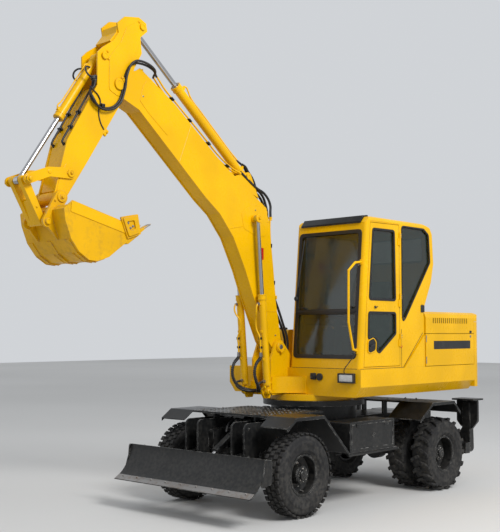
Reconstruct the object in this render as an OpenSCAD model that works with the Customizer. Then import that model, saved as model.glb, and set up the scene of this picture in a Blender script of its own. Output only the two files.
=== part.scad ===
// Wheeled excavator of the seven to eight tonne class, in millimetres.
// The front faces -Y, the cab is on the left at +X, +Z is up and the ground is Z = 0.
// The slewing axis stands at X = 0, Y = 0. The boom and the bucket are drawn as they stand parked:
// boom raised, stick bent down and bucket rolled in, so every place below is a place at rest.

/* [Wheels] */
// Outer diameter of a tyre over its lugs
tyre_d = 850; // [800:10:890]
// Width of a tyre
tyre_w = 232; // [200:2:250]
// Height of the lugs over the carcass
lug_h = 13; // [6:1:20]
// Number of lugs round one shoulder of a tyre
lug_n = 18; // [12:1:24]
// Diameter of the rim at the bead
rim_d = 420; // [390:5:450]
// Width of the rim between its flanges
rim_w = 176; // [150:2:190]
// Distance between the front and the rear axle
wheelbase = 2480; // [2400:10:2560]
// Distance between the middles of the front tyres
track_front = 1596; // [1560:4:1640]
// Distance between the middles of the outer rear tyres
track_rear = 1806; // [1780:2:1830]
// Distance between the middles of twin tyres
twin_pitch = 350; // [320:5:360]
// Distance between the two kingpins
kingpin_track = 1180; // [1160:4:1200]

/* [Chassis] */
// Width of the chassis box
chassis_w = 620; // [560:10:640]
// Height of the underside of the chassis box
chassis_z = 560; // [560:2:580]
// Height of the top of the chassis box
chassis_top = 880; // [850:5:900]
// Front end of the chassis box, ahead of the slewing axis
chassis_front = 1480; // [1440:10:1520]
// Rear end of the chassis box, behind the slewing axis
chassis_rear = 1720; // [1700:10:1740]
// Thickness of the front mounting plates
ear_t = 20; // [14:1:24]
// Radius of the turntable drum
drum_r = 500; // [460:10:520]
// Radius of the turntable flange
flange_r = 590; // [570:5:600]
// Height of the top of the turntable flange
flange_top = 1100; // [1095:1:1105]
// Height of the front fenders' tops
fender_z = 1010; // [990:5:1030]
// Height of the rear fenders' tops
fender_rear_z = 1040; // [1030:5:1060]
// Half width of the decks between the fenders
deck_hw = 560; // [540:5:580]
// Thickness of the fender plates
fender_t = 10; // [6:1:14]
// Outer half width over the front fenders and the boxes
side_x = 930; // [900:5:940]

/* [Blade] */
// Width of the blade
blade_w = 2000; // [1900:10:2040]
// Thickness of the blade's mouldboard
blade_t = 12; // [8:1:16]
// Radius of the mouldboard's hollow face
blade_r = 420; // [380:10:460]

/* [Superstructure] */
// Half width of the superstructure
body_x = 980; // [960:5:1000]
// Height of the superstructure's underside
body_z = 1160; // [1155:1:1170]
// Height of the deck that the cab and the hood stand on
deck_z = 1465; // [1450:5:1480]
// Front end of the deck, ahead of the slewing axis
deck_front = 400; // [390:5:410]
// Rear end of the machine, behind the slewing axis
tail = 2150; // [2120:5:2180]
// Front edge of the hood, behind the slewing axis
hood_front = 880; // [870:2:890]
// Height of the hood's top
hood_top = 2110; // [2080:5:2130]
// Height of the seam between the hood lid and the side doors
lid_seam = 1850; // [1830:5:1870]
// Length of the counterweight, from its front face to the tail
weight_len = 160; // [140:5:180]
// Thickness of the sheet metal covers
sheet_t = 30; // [20:1:35]
// Gap round a door or lid
seam = 6; // [5:1:8]
// Radius of the tail's corners, seen from above
tail_r = 120; // [80:5:160]
// Radius of the hood's rear edge, seen from the side
hood_r = 110; // [60:5:130]

/* [Cab] */
// Left face of the cab
cab_left = 965; // [955:1:970]
// Width of the cab
cab_w = 1000; // [960:5:1005]
// Height of the cab's roof
cab_top = 3150; // [3120:5:3180]
// Radius of the cab's front corners, seen from above
corner_r = 45; // [30:5:60]
// Radius of the edges along the cab's roof
roof_r = 60; // [40:5:80]
// Thickness of the cab's walls and of its door
wall_t = 40; // [34:1:46]
// Thickness of the panes
pane_t = 6; // [4:1:8]

/* [Arm] */
// Sideways place of the boom's middle
boom_x = -200; // [-210:2:-190]
// Half width of the boom
boom_hw = 104; // [98:1:108]
// Half width of the stick
stick_hw = 130; // [126:1:132]
// Thickness of the stick's side plates
stick_t = 18; // [14:1:18]
// Thickness of the plates that carry the boom's foot
foot_t = 26; // [20:1:30]
// Width of a boom cylinder's eye
ram_eye = 44; // [36:2:50]
// Radius of a boom cylinder's tube
ram_r = 42; // [38:1:44]
// Radius of the arm cylinder's tube
arm_ram_r = 50; // [44:1:52]
// Radius of the bucket cylinder's tube
bucket_ram_r = 42; // [38:1:44]
// Radius of the large pivot pins
pin_r = 28; // [24:1:30]
// Width of the bucket
bucket_w = 690; // [640:10:720]
// Number of teeth on the bucket
tooth_n = 5; // [4:1:6]

/* [Hidden] */
$fn = 32;
gap = 0.3;
tyre_r = tyre_d / 2;
axle_z = tyre_r;
axle_front = -wheelbase / 2;
axle_rear = wheelbase / 2;
chassis_hw = chassis_w / 2;
// Inner and outer faces of the boom's foot plates, from the boom's middle
foot_in = boom_hw + 15;
foot_out = foot_in + foot_t;
ram_x = foot_out + ram_eye / 2 + 3;
weight_front = tail - weight_len;
floor_t = 20;
foot_floor_front = 670;

// Pivots in the plane of the boom, as [y, z]
pin_foot = [-540, 1700];
pin_ram_foot = [-770, 1205];
pin_ram_head = [-940, 3130];
pin_arm_foot = [-990, 3600];
pin_stick = [-2890, 4275];
pin_arm_head = [-2600, 4910];
pin_bucket_foot = [-3070, 4520];
pin_bucket = [-3570, 3095];
pin_rocker = [-3460, 3330];
pin_link_top = [-3920, 3225];
pin_link_low = [-3720, 2860];
// Pivots of the blade and its cylinder, as [y, z]
pin_blade = [-1380, 600];
pin_blade_foot = [-1290, 830];
pin_blade_head = [-1800, 500];
// Pivots of a stabiliser and its cylinder, as [x, z] on the left side, and their plane
pin_stab = [900, 430];
pin_stab_foot = [300, 760];
pin_stab_head = [800, 560];
stab_y = 1940;

black = "#1c1d1f";
yellow = "#f6c400";
steel = "#b9bdc0";
rubber = "#26262a";
glass = "#5d7a72";

// Extrudes an outline drawn as [y, z] across the machine from x1 to x2
module across(x1, x2) {
    translate([x1, 0, 0]) rotate([90, 0, 90]) linear_extrude(x2 - x1) children();
}
// Extrudes an outline drawn as [x, z] along the machine from y1 to y2
module along(y1, y2) {
    translate([0, y2, 0]) rotate([90, 0, 0]) linear_extrude(y2 - y1) children();
}
// A round bar across the machine at [y, z]
module bar_x(p, r, x1, x2) {
    translate([x1, p[0], p[1]]) rotate([0, 90, 0]) cylinder(r = r, h = x2 - x1);
}
// A round bar in a plane across X, from a to b given as [y, z], starting and ending short by s1 and s2
module bar_yz(x, a, b, r, s1 = 0, s2 = 0) {
    d = b - a;
    translate([x, a[0], a[1]]) rotate([atan2(-d[0], d[1]), 0, 0])
        translate([0, 0, s1]) cylinder(r = r, h = norm(d) - s1 - s2);
}
// Turns what is drawn along +Z so that it runs from a towards b, both [y, z], in the plane at x
module aim_yz(x, a, b) {
    d = b - a;
    translate([x, a[0], a[1]]) rotate([atan2(-d[0], d[1]), 0, 0]) children();
}
// The same from a towards b, both [x, z], in the plane at y, with the eyes' bores along Y
module aim_xz(y, a, b) {
    d = b - a;
    translate([a[0], y, a[1]]) rotate([0, atan2(d[0], d[1]), 0]) rotate([0, 0, 90]) children();
}
// Barrel of a hydraulic cylinder along +Z: eye at the origin, neck, tube from z1 to z2 and gland at its mouth
module barrel(r, rod_r, z1, z2, eye_r, eye_w, bore_r, gland = 5) {
    difference() {
        union() {
            rotate([0, 90, 0]) cylinder(r = eye_r, h = eye_w, center = true);
            cylinder(r = min(r, eye_w / 2) - 1, h = z1 + 1);
            translate([0, 0, z1]) cylinder(r = r, h = z2 - z1 - 10);
            translate([0, 0, z2 - 60]) cylinder(r = r + gland, h = 60);
        }
        translate([0, 0, z1 + 16]) cylinder(r = rod_r + gap, h = z2);
        rotate([0, 90, 0]) cylinder(r = bore_r, h = eye_w + 20, center = true);
    }
}
// Rod of a hydraulic cylinder along +Z, from z1 inside the barrel to its own eye at z2
module piston_rod(r, z1, z2, eye_r, eye_w) {
    translate([0, 0, z1]) cylinder(r = r, h = z2 - z1 - eye_r + 6);
    translate([0, 0, z2]) rotate([0, 90, 0]) cylinder(r = eye_r, h = eye_w, center = true);
}
// An outline with its corners rounded by r
module soft(r) {
    offset(r = r) offset(delta = -r) children();
}
// A box given by its lowest and highest corner
module box(a, b) {
    translate(a) cube(b - a);
}
module disc2d(p, r) {
    translate(p) circle(r = r);
}

// Wheels
module tyre() {
    h = tyre_w / 2;
    tread_r = tyre_r - lug_h;
    rotate([0, 90, 0]) {
        rotate_extrude($fn = 32) polygon([[rim_d / 2, -h + 34], [rim_d / 2 + 40, -h + 6], [rim_d / 2 + 110, -h],
            [tread_r - 24, -h + 12], [tread_r, -h + 38], [tread_r, h - 38], [tread_r - 24, h - 12],
            [rim_d / 2 + 110, h], [rim_d / 2 + 40, h - 6], [rim_d / 2, h - 34]]);
        for (i = [0 : lug_n - 1], s = [-1, 1])
            rotate([0, 0, (i + (s > 0 ? 0 : 0.5)) * 360 / lug_n])
                translate([tread_r - 8, -22, s > 0 ? 4 : -h + 16]) cube([lug_h + 8, 44, h - 20]);
    }
}
// A dished wheel: rim well, flanges, disc and hub, with its open side towards +X
module rim(disc_x, hub_x) {
    w = rim_w / 2;
    r = rim_d / 2;
    rotate([0, 90, 0]) rotate_extrude($fn = 48) polygon([[46, disc_x - 14], [r - 30, disc_x - 14], [r - 30, -w + 8],
        [r - 18, -w], [r - 1, -w], [r - gap, -w + 10], [r - 12, -w + 22], [r - 12, w - 22],
        [r - gap, w - 10], [r - 1, w], [r - 18, w], [r - 24, w - 14], [r - 24, disc_x + 20],
        [140, disc_x], [96, disc_x], [92, hub_x], [46, hub_x]]);
}
module front_wheel_place(s) {
    translate([s * track_front / 2, axle_front, axle_z]) mirror([s < 0 ? 1 : 0, 0, 0]) children();
}
module tyre_front_left() {
    color(rubber) front_wheel_place(1) tyre();
}
module tyre_front_right() {
    color(rubber) front_wheel_place(-1) tyre();
}
module rim_front_left() {
    color(black) front_wheel_place(1) rim(-30, 58);
}
module rim_front_right() {
    color(black) front_wheel_place(-1) rim(-30, 58);
}
module rear_wheel_place(s) {
    translate([s * track_rear / 2, axle_rear, axle_z]) mirror([s < 0 ? 1 : 0, 0, 0]) children();
}
module tyres_rear(s) {
    color(rubber) rear_wheel_place(s) {
        tyre();
        translate([-twin_pitch, 0, 0]) tyre();
    }
}
// Twin rims share one hub: the inner rim dishes outwards and the outer one inwards
module rims_rear(s) {
    color(black) rear_wheel_place(s) {
        rim(-60, 20);
        translate([-twin_pitch, 0, 0]) mirror([1, 0, 0]) rim(-60, 20);
        rotate([0, 90, 0]) translate([0, 0, -twin_pitch + 74]) difference() {
            cylinder(r = 120, h = twin_pitch - 148);
            translate([0, 0, -1]) cylinder(r = 46, h = twin_pitch);
        }
    }
}
module tyres_rear_left() {
    tyres_rear(1);
}
module tyres_rear_right() {
    tyres_rear(-1);
}
module rims_rear_left() {
    rims_rear(1);
}
module rims_rear_right() {
    rims_rear(-1);
}

// Steering knuckle with its spindle, kingpin and steering arm
knuckle_h = 64;
arm_len = 170;
module knuckle(s) {
    color(black) translate([s * kingpin_track / 2, axle_front, axle_z]) mirror([s < 0 ? 1 : 0, 0, 0]) {
        translate([0, 0, -knuckle_h]) cylinder(r = 46, h = 2 * knuckle_h);
        translate([0, 0, -knuckle_h - 34]) cylinder(r = 22, h = 2 * knuckle_h + 68);
        rotate([0, 90, 0]) cylinder(r = 62, h = track_front / 2 - kingpin_track / 2 - 30 - 14 - 4);
        rotate([0, 90, 0]) cylinder(r = 45.7, h = track_front / 2 - kingpin_track / 2 + 50);
        translate([-24, 0, -30]) cube([34, arm_len, 26]);
        translate([-7, arm_len, -30]) cylinder(r = 30, h = 26);
    }
}
module knuckle_left() {
    knuckle(1);
}
module knuckle_right() {
    knuckle(-1);
}
module tie_rod() {
    x = kingpin_track / 2 - 7;
    color(steel) {
        for (s = [-1, 1])
            translate([s * x, axle_front + arm_len, axle_z - 60 - gap]) cylinder(r = 26, h = 30);
        translate([-x, axle_front + arm_len, axle_z - 52]) rotate([0, 90, 0]) cylinder(r = 12, h = 2 * x);
    }
}
module front_axle() {
    k = kingpin_track / 2;
    color(black) difference() {
        union() {
            bar_x([axle_front, axle_z], 58, -k + 70, k - 70);
            translate([0, axle_front - 90, axle_z]) rotate([-90, 0, 0]) cylinder(r1 = 80, r2 = 128, h = 60, $fn = 40);
            translate([0, axle_front - 30, axle_z]) rotate([-90, 0, 0]) cylinder(r = 128, h = 90);
            translate([0, axle_front + 60, axle_z]) rotate([-90, 0, 0]) cylinder(r = 62, h = 70);
            for (s = [-1, 1]) {
                box([s * (k - 40) - 42, axle_front - 60, axle_z - knuckle_h - 34],
                    [s * (k - 40) + 42, axle_front + 60, axle_z - knuckle_h - 4]);
                box([s * (k - 40) - 42, axle_front - 60, axle_z + knuckle_h + 4],
                    [s * (k - 40) + 42, axle_front + 60, axle_z + knuckle_h + 34]);
                box([s * (k - 90) - 20, axle_front - 60, axle_z - knuckle_h - 34],
                    [s * (k - 90) + 20, axle_front + 60, axle_z + knuckle_h + 34]);
                translate([s * k, axle_front, axle_z - knuckle_h - 34]) cylinder(r = 44, h = 30);
                translate([s * k, axle_front, axle_z + knuckle_h + 4]) cylinder(r = 44, h = 30);
            }
            box([-130, axle_front - 110, axle_z + 60], [130, axle_front + 110, chassis_z]);
        }
        for (s = [-1, 1])
            translate([s * k, axle_front, axle_z - 200]) cylinder(r = 22 + gap, h = 400);
    }
}
module rear_axle() {
    inner = track_rear / 2 - twin_pitch;
    color(black) {
        bar_x([axle_rear, axle_z], 70, -inner + 24, inner - 24);
        bar_x([axle_rear, axle_z], 45.7, -track_rear / 2 - 12, track_rear / 2 + 12);
        translate([0, axle_rear - 60, axle_z]) rotate([-90, 0, 0]) cylinder(r = 135, h = 120);
        translate([0, axle_rear - 130, axle_z]) rotate([-90, 0, 0]) cylinder(r = 62, h = 72);
        for (s = [-1, 1])
            box([s * 250 - 60, axle_rear - 90, axle_z + 30], [s * 250 + 60, axle_rear + 90, chassis_z]);
    }
}
// Gearbox under the turntable and the two propeller shafts
module drive_line() {
    color(black) {
        box([-120, -160, 360], [120, 260, chassis_z]);
        translate([0, 0, axle_z]) rotate([-90, 0, 0]) cylinder(r = 70, h = 300);
        translate([0, axle_front + 130, axle_z]) rotate([-90, 0, 0]) cylinder(r = 30, h = -axle_front - 130);
        translate([0, 260, axle_z]) rotate([-90, 0, 0]) cylinder(r = 30, h = axle_rear - 130 - 260);
    }
}

// Chassis box with its front mounting plates, deck, turntable drum and outriggers
ear_rows = [250, 430];
box_in = 626;
module ear_outline() {
    soft(60) polygon([[-1640, 530], [-1640, 940], [-1080, 940], [-1080, 530]]);
}
module chassis_frame() {
    color(black) {
        difference() {
            union() {
                across(-chassis_hw, chassis_hw) soft(30) polygon([[-chassis_front, chassis_z + 70],
                    [-chassis_front, chassis_top - 60], [-900, chassis_top], [900, chassis_top],
                    [chassis_rear, chassis_top - 20], [chassis_rear, chassis_z + 60], [chassis_rear - 160, chassis_z],
                    [-chassis_front + 160, chassis_z]]);
                for (s = [-1, 1], x = ear_rows)
                    translate([s * x - ear_t / 2, 0, 0]) across(0, ear_t) ear_outline();
            }
            // Bay of the blade's cylinder and the two slots of the blade's arms
            box([-170, -chassis_front - 1, chassis_z + 80], [170, -1150, chassis_top + 100]);
            box([-170, -chassis_front - 1, chassis_z - 1], [170, -1360, chassis_z + 90]);
            for (s = [-1, 1]) {
                box([s * 340 - 78, -1700, 500], [s * 340 + 78, -1130, 760]);
                bar_x(pin_blade, pin_r + gap, s * 340 - 105, s * 340 + 105);
            }
            bar_x(pin_blade_foot, pin_r + gap, -262, 262);
        }
        for (s = [-1, 1])
            mirror([s < 0 ? 1 : 0, 0, 0]) {
                box([260, -1130, chassis_z], [420, -1080, 940]);
                // Brackets of the tool box and of the tank
                for (y = [-290, 130])
                    box([chassis_hw - 10, y - 40, 700], [box_in, y + 40, 860]);
                for (y = [-1300, -700])
                    box([288, y - 40, chassis_top - 80], [312, y + 40, fender_z - 10]);
                for (y = [1000, 1400])
                    box([288, y - 40, chassis_top - 80], [312, y + 40, fender_rear_z - 10]);
                box([390, 1800, 490], [810, 1870, 560]);
                translate([pin_stab[0], 1800, pin_stab[1]]) rotate([-90, 0, 0]) cylinder(r = pin_r, h = 205);
                translate([pin_stab_foot[0], 1800, pin_stab_foot[1]]) rotate([-90, 0, 0]) cylinder(r = 20, h = 190);
            }
        translate([0, 0, chassis_top - 10]) cylinder(r = drum_r, h = flange_top - 50 - chassis_top, $fn = 64);
        translate([0, 0, flange_top - 60]) cylinder(r = flange_r, h = 60, $fn = 64);
        box([-deck_hw, -1420, fender_z - 20], [deck_hw, -520, fender_z]);
        box([-deck_hw, 960, fender_rear_z - 20], [deck_hw, 1440, fender_rear_z]);
        // Cross beam that carries the stabilisers
        box([-400, chassis_rear - 20, 520], [400, 1885, 860]);
        box([-960, 1790, 370], [960, 1885, 500]);
    }
}
fender_front = [[-1540, fender_z - 95], [-1400, fender_z], [-960, fender_z], [-540, 590]];
fender_rear = [[700, 860], [960, fender_rear_z], [1440, fender_rear_z], [1580, 900]];
fender_rear_x = 1020;
fender_lip = 34;
// A bent plate that follows a row of [y, z] points
module bent_plate(pts, t) {
    n = len(pts);
    polygon(concat(pts, [for (i = [n - 1 : -1 : 0]) pts[i] + [0, -t]]));
}
module fenders() {
    color(black) for (s = [-1, 1])
        mirror([s < 0 ? 1 : 0, 0, 0]) {
            across(deck_hw, side_x) bent_plate(fender_front, fender_t);
            across(side_x - fender_t, side_x) bent_plate(fender_front, fender_lip);
            across(deck_hw, fender_rear_x) bent_plate(fender_rear, fender_t);
            across(fender_rear_x - fender_t, fender_rear_x) bent_plate(fender_rear, fender_lip);
        }
}
// Box with a step rail under it, between the axles on the left
module tool_box() {
    color(black) {
        across(box_in, side_x) soft(20) polygon([[-530, 580], [-530, 905], [290, 905], [290, 580]]);
        translate([side_x - 20, -540, 560]) rotate([-90, 0, 0]) cylinder(r = 17, h = 920);
        for (y = [-440, 200]) {
            box([760, y - 15, 552], [side_x - 20, y + 15, 568]);
            box([760, y - 15, 552], [800, y + 15, 590]);
        }
    }
}
module fuel_tank() {
    color(black) {
        across(-side_x, -box_in) soft(60) polygon([[-530, 580], [-530, 905], [290, 905], [290, 580]]);
        translate([-800, 60, 900]) cylinder(r = 45, h = 40);
    }
}

// Blade: curved mouldboard, end plates and two arms
module blade_face() {
    // The hollow face is an arc of blade_r whose middle lies ahead of the blade
    c = [-2345, 620 + 60];
    intersection() {
        difference() {
            disc2d(c, blade_r + blade_t);
            disc2d(c, blade_r);
        }
        polygon([[-2345, 655], [-1800, 655], [-1800, 300], [-2160, 300]]);
    }
}
blade_ear = 34;
module blade() {
    color(black) {
        across(-blade_w / 2 + 12, blade_w / 2 - 12) blade_face();
        for (s = [-1, 1]) {
            translate([s > 0 ? blade_w / 2 - 12 : -blade_w / 2, 0, 0]) across(0, 12)
                soft(24) polygon([[-1950, 660], [-1850, 640], [-1850, 420], [-2205, 338], [-2130, 330],
                    [-2000, 420], [-1960, 540]]);
            across(s * 340 - 40, s * 340 + 40) union() {
                disc2d(pin_blade, 52);
                polygon([[-1380, 652], [-1380, 548], [-1880, 430], [-1930, 560]]);
            }
            bar_x(pin_blade, pin_r, s * 340 - 100, s * 340 + 100);
            // Ears of the blade's cylinder with the caps of their pin
            mirror([s < 0 ? 1 : 0, 0, 0]) {
                across(blade_ear, blade_ear + 24) union() {
                    disc2d(pin_blade_head, 44);
                    polygon([[-1800, 544], [-1800, 456], [-1925, 420], [-1925, 590]]);
                }
                bar_x(pin_blade_head, 22, blade_ear + 20, blade_ear + 32);
            }
        }
        across(-760, 760) polygon([[-1920, 400], [-1920, 560], [-1850, 520], [-1850, 440]]);
    }
}
module blade_tube() {
    color(black) {
        aim_yz(0, pin_blade_foot, pin_blade_head) barrel(45, 25, 40, 392, 44, 90, pin_r - 1);
        bar_x(pin_blade_foot, pin_r, -262, 262);
    }
}
module blade_rod() {
    color(steel) {
        aim_yz(0, pin_blade_foot, pin_blade_head) piston_rod(25, 200, norm(pin_blade_head - pin_blade_foot), 34, 58);
        bar_x(pin_blade_head, 22, -blade_ear + gap, blade_ear - gap);
    }
}

// Stabiliser: a leg that pivots outwards on the rear beam, folded upright, with its foot plate on top
module stabiliser(s) {
    foot = [905, 960];
    hub_r = 60;
    slot = 26;
    color(black) mirror([s < 0 ? 1 : 0, 0, 0]) {
        difference() {
            union() {
                along(stab_y - 45, stab_y + 45) {
                    hull() {
                        disc2d(pin_stab, hub_r);
                        disc2d(foot, 46);
                    }
                    hull() {
                        disc2d(pin_stab, hub_r);
                        disc2d(pin_stab_head, 34);
                        disc2d(pin_stab + [0, 240], 46);
                    }
                }
                // Flared end of the leg, with the pad it stands on
                along(stab_y - 20, stab_y + 20) soft(30) polygon([[860, 640], [760, 760], [760, 1030], [1050, 1030],
                    [1050, 760], [950, 640]]);
                along(stab_y - 120, stab_y + 120) polygon([[752, 1020], [752, 1040], [1058, 1040], [1058, 1020]]);
                translate([pin_stab_head[0], stab_y + 44, pin_stab_head[1]]) rotate([-90, 0, 0]) cylinder(r = 22, h = 14);
            }
            // Space between the leg's ears for the rod's eye in all its places
            box([pin_stab[0] - 200, stab_y - slot, pin_stab[1] + hub_r], [pin_stab[0] - 20, stab_y + slot, pin_stab[1] + 260]);
            box([pin_stab[0] - 200, stab_y - slot, pin_stab[1] - 80], [pin_stab[0] - 36, stab_y + slot,
                pin_stab[1] + hub_r + 1]);
            translate([pin_stab[0], stab_y - 60, pin_stab[1]]) rotate([-90, 0, 0]) cylinder(r = pin_r + gap, h = 120);
        }
    }
}
module stabiliser_left() {
    stabiliser(1);
}
module stabiliser_right() {
    stabiliser(-1);
}
module stab_tube(s) {
    color(black) mirror([s < 0 ? 1 : 0, 0, 0])
        aim_xz(stab_y, pin_stab_foot, pin_stab_head) barrel(30, 18, 30, 400, 34, 40, 20 + gap, 4);
}
module stab_rod(s) {
    color(steel) mirror([s < 0 ? 1 : 0, 0, 0])
        aim_xz(stab_y, pin_stab_foot, pin_stab_head) piston_rod(18, 62, norm(pin_stab_head - pin_stab_foot), 26, 38);
}
module stab_tube_left() {
    stab_tube(1);
}
module stab_tube_right() {
    stab_tube(-1);
}
module stab_rod_left() {
    stab_rod(1);
}
module stab_rod_right() {
    stab_rod(-1);
}

bay_rear = -60;
// Superstructure: frame with its skirts, turntable plate and the nose that carries the boom
module upper_frame() {
    chamfer_z = deck_z - 195;
    wall_y = hood_front - 20;
    color(yellow) {
        difference() {
            along(-deck_front, weight_front) polygon([[-body_x, deck_z], [-body_x, chamfer_z],
                [-body_x + 90, body_z], [body_x - 90, body_z], [body_x, chamfer_z], [body_x, deck_z]]);
            // The engine's well behind the hood's front wall
            box([-body_x + 160, hood_front + 60, body_z + 40], [body_x - 160, weight_front - 60, deck_z + 10]);
            // The bay that the boom's foot stands in
            box([boom_x - foot_out, -deck_front - 1, body_z + floor_t], [boom_x + foot_out, bay_rear, deck_z + 1]);
        }
        box([boom_x - foot_out, -foot_floor_front, body_z], [boom_x + foot_out, -deck_front + 1, body_z + floor_t]);
        translate([0, 0, flange_top + gap]) cylinder(r = drum_r + 20, h = body_z - flange_top + 10, $fn = 64);
        // Bulkhead between the cab and the engine
        along(wall_y, hood_front) polygon([[-body_x + 20, deck_z - 1], [body_x - 20, deck_z - 1],
            [body_x - 20, hood_top - 60], [body_x - 60, hood_top - 20], [-body_x + 60, hood_top - 20],
            [-body_x + 20, hood_top - 60]]);
    }
}
// Left cover under the cab's slanted rear corner, and the tank housing on the right behind the boom
module side_locker() {
    color(yellow) {
        across(body_x - 60, body_x) polygon([[cab_step_y + 16, deck_z + gap], [hood_front - 22, deck_z + gap],
            [hood_front - 22, cab_step_z - 18]]);
        across(-body_x + 8, -500) soft(50) polygon([[120, deck_z + gap], [120, 1900], [hood_front - 26, 1900],
            [hood_front - 26, deck_z + gap]]);
    }
}
// Two plates with the pins of the boom and of its cylinders, and the web between them
module foot_plate_outline() {
    hull() {
        disc2d(pin_foot, 82);
        polygon([[-690, 1560], [-215, deck_z], [-690, deck_z]]);
    }
    polygon([[-690, 1560], [-215, deck_z], [bay_rear, deck_z - 80], [bay_rear, body_z + floor_t],
        [-700, body_z + floor_t], [-712, 1255], [-690, 1330]]);
    hull() {
        disc2d(pin_ram_foot, 58);
        polygon([[-680, 1250], [-680, body_z + floor_t + 1], [-705, 1130], [-790, 1130]]);
    }
}
cheek_r = 280;
cheek_t = 12;
cheek_h = 185;
// Corner of a square outside its inscribed quarter disc, as far as t from the arc
module cheek(t) {
    intersection() {
        difference() {
            translate([0, -cheek_r]) square(cheek_r);
            disc2d([cheek_r, -cheek_r], cheek_r - cheek_t);
        }
        disc2d([cheek_r, -cheek_r], cheek_r - cheek_t + t);
    }
}
module boom_foot() {
    color(yellow) translate([boom_x, 0, 0]) {
        for (s = [-1, 1])
            mirror([s < 0 ? 1 : 0, 0, 0]) {
                across(foot_in, foot_out) foot_plate_outline();
                bar_x(pin_foot, 62, foot_out - 1, foot_out + 14);
                bar_x(pin_ram_foot, 24, foot_in, ram_x + ram_eye / 2 + 4);
            }
        bar_x(pin_foot, pin_r, -foot_in - 1, foot_in + 1);
        // Curved cheeks that lead each plate out to the frame's front, open at the top, on a floor of their own
        for (s = [-1, 1])
            mirror([s < 0 ? 1 : 0, 0, 0]) translate([foot_out - 2, -deck_front, body_z + floor_t]) {
                linear_extrude(cheek_h) cheek(cheek_t);
                linear_extrude(cheek_t) cheek(cheek_r);
            }
        across(-foot_in - 1, foot_in + 1) polygon([[-420, body_z + floor_t], [-390, body_z + floor_t],
            [-250, 1440], [-280, 1440]]);
    }
}

// Cab: a hollow shell with its windows and its door opening cut
cab_right = cab_left - cab_w;
cab_mid = cab_left - cab_w / 2;
cab_front = -390;
cab_brow = -245;
cab_step_y = 430;
cab_step_z = 1850;
cab_rear = hood_front - 20;
cab_profile = [[cab_front, deck_z + gap], [cab_brow, cab_top - 70], [-190, cab_top - 10], [-120, cab_top],
    [880, cab_top], [1010, cab_top - 45], [1060, cab_top - 120], [1085, 2680], [1030, 2460], [cab_rear - gap, 2130],
    [cab_rear - gap, cab_step_z], [cab_step_y, deck_z + gap]];
cab_profile_back = 1200;
cab_plan_back = 2400;
cab_plan_over = 400;
roof_low = 900;
screen_cut = [-460, -150];
rear_screen = [2710, 3000];
rear_cut = [900, 1200];
lean = (cab_brow - cab_front) / (cab_top - 70 - deck_z);
function front_y(z) = cab_front + (z - deck_z) * lean;
right_window = [[-180, 1950], [-130, 3010], [850, 3010], [960, 2700], [800, 2330], [800, 1950]];
screen_low = [1600, 2075];
screen_top = [2110, 2975];
hinge_rows = [1700, 2150, 2850];
hinge_y = 372;
door_profile = [[-318, deck_z + 25], [-182, 3075], [365, 3085], [365, deck_z + 25]];
quarter_window = [[415, 1935], [415, 3085], [880, 3085], [985, 3020], [1010, 2690]];
// The cab's outline inset by a wall, its front corners rounded along the leaning wall and its roof's edges rounded
module cab_solid(inset) {
    low_x = cab_right + inset;
    high_x = cab_left - inset;
    intersection() {
        across(low_x, high_x) offset(delta = -inset) polygon(cab_profile);
        translate([0, cab_front, deck_z]) rotate([-atan(lean), 0, 0]) translate([0, 0, -cab_plan_over])
            linear_extrude(cab_top - deck_z + 2 * cab_plan_over) soft(max(corner_r - inset, 4))
                polygon([[low_x, inset], [low_x, cab_plan_back], [high_x, cab_plan_back], [high_x, inset]]);
        along(cab_front - 200, cab_profile_back) soft(max(roof_r - inset, 8))
            polygon([[low_x, roof_low], [low_x, cab_top - inset], [high_x, cab_top - inset], [high_x, roof_low]]);
    }
}
module screen_outline(z1, z2) {
    soft(40) polygon([[cab_right + 75, z1], [cab_right + 75, z2], [cab_left - 85, z2], [cab_left - 85, z1]]);
}
module rear_outline() {
    soft(40) polygon([[cab_right + 120, rear_screen[0]], [cab_right + 120, rear_screen[1]],
        [cab_left - 120, rear_screen[1]], [cab_left - 120, rear_screen[0]]]);
}
module cab_shell() {
    color(yellow) {
        difference() {
            cab_solid(0);
            cab_solid(wall_t);
            across(cab_left - wall_t - 1, cab_left + 1) offset(delta = seam) polygon(door_profile);
            across(cab_left - wall_t - 1, cab_left + 1) soft(50) polygon(quarter_window);
            across(cab_right - 1, cab_right + wall_t + 1) soft(50) polygon(right_window);
            along(screen_cut[0], screen_cut[1]) screen_outline(screen_low[0], screen_low[1]);
            along(screen_cut[0], screen_cut[1]) screen_outline(screen_top[0], screen_top[1]);
            along(rear_cut[0], rear_cut[1]) rear_outline();
        }
        // Fixed halves of the door's hinges
        for (z = hinge_rows) {
            translate([cab_left + 9, hinge_y, z + 90 + gap]) cylinder(r = 9, h = 60);
            box([cab_left - 1, hinge_y + 6, z + 95], [cab_left + 9, hinge_y + 34, z + 145]);
        }
    }
}
// The windscreen leans with the cab's front wall
module leaning_pane(z1, z2) {
    intersection() {
        across(cab_right, cab_left) polygon([[front_y(z1) + 16, z1], [front_y(z2) + 16, z2],
            [front_y(z2) + 16 + pane_t, z2], [front_y(z1) + 16 + pane_t, z1]]);
        along(screen_cut[0], screen_cut[1]) screen_outline(z1, z2);
    }
}
module cab_glass() {
    color(glass) {
        across(cab_left - 20, cab_left - 20 + pane_t) soft(50) polygon(quarter_window);
        across(cab_right + 17, cab_right + 17 + pane_t) soft(50) polygon(right_window);
        leaning_pane(screen_low[0], screen_low[1]);
        leaning_pane(screen_top[0], screen_top[1]);
        intersection() {
            across(cab_right, cab_left) polygon([[1060, 2710], [1040, 3000], [1040 + pane_t, 3000],
                [1060 + pane_t, 2710]]);
            along(rear_cut[0], rear_cut[1]) rear_outline();
        }
    }
}
door_window_top = [[-215, 2225], [-140, 3010], [270, 3015], [285, 2225]];
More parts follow.
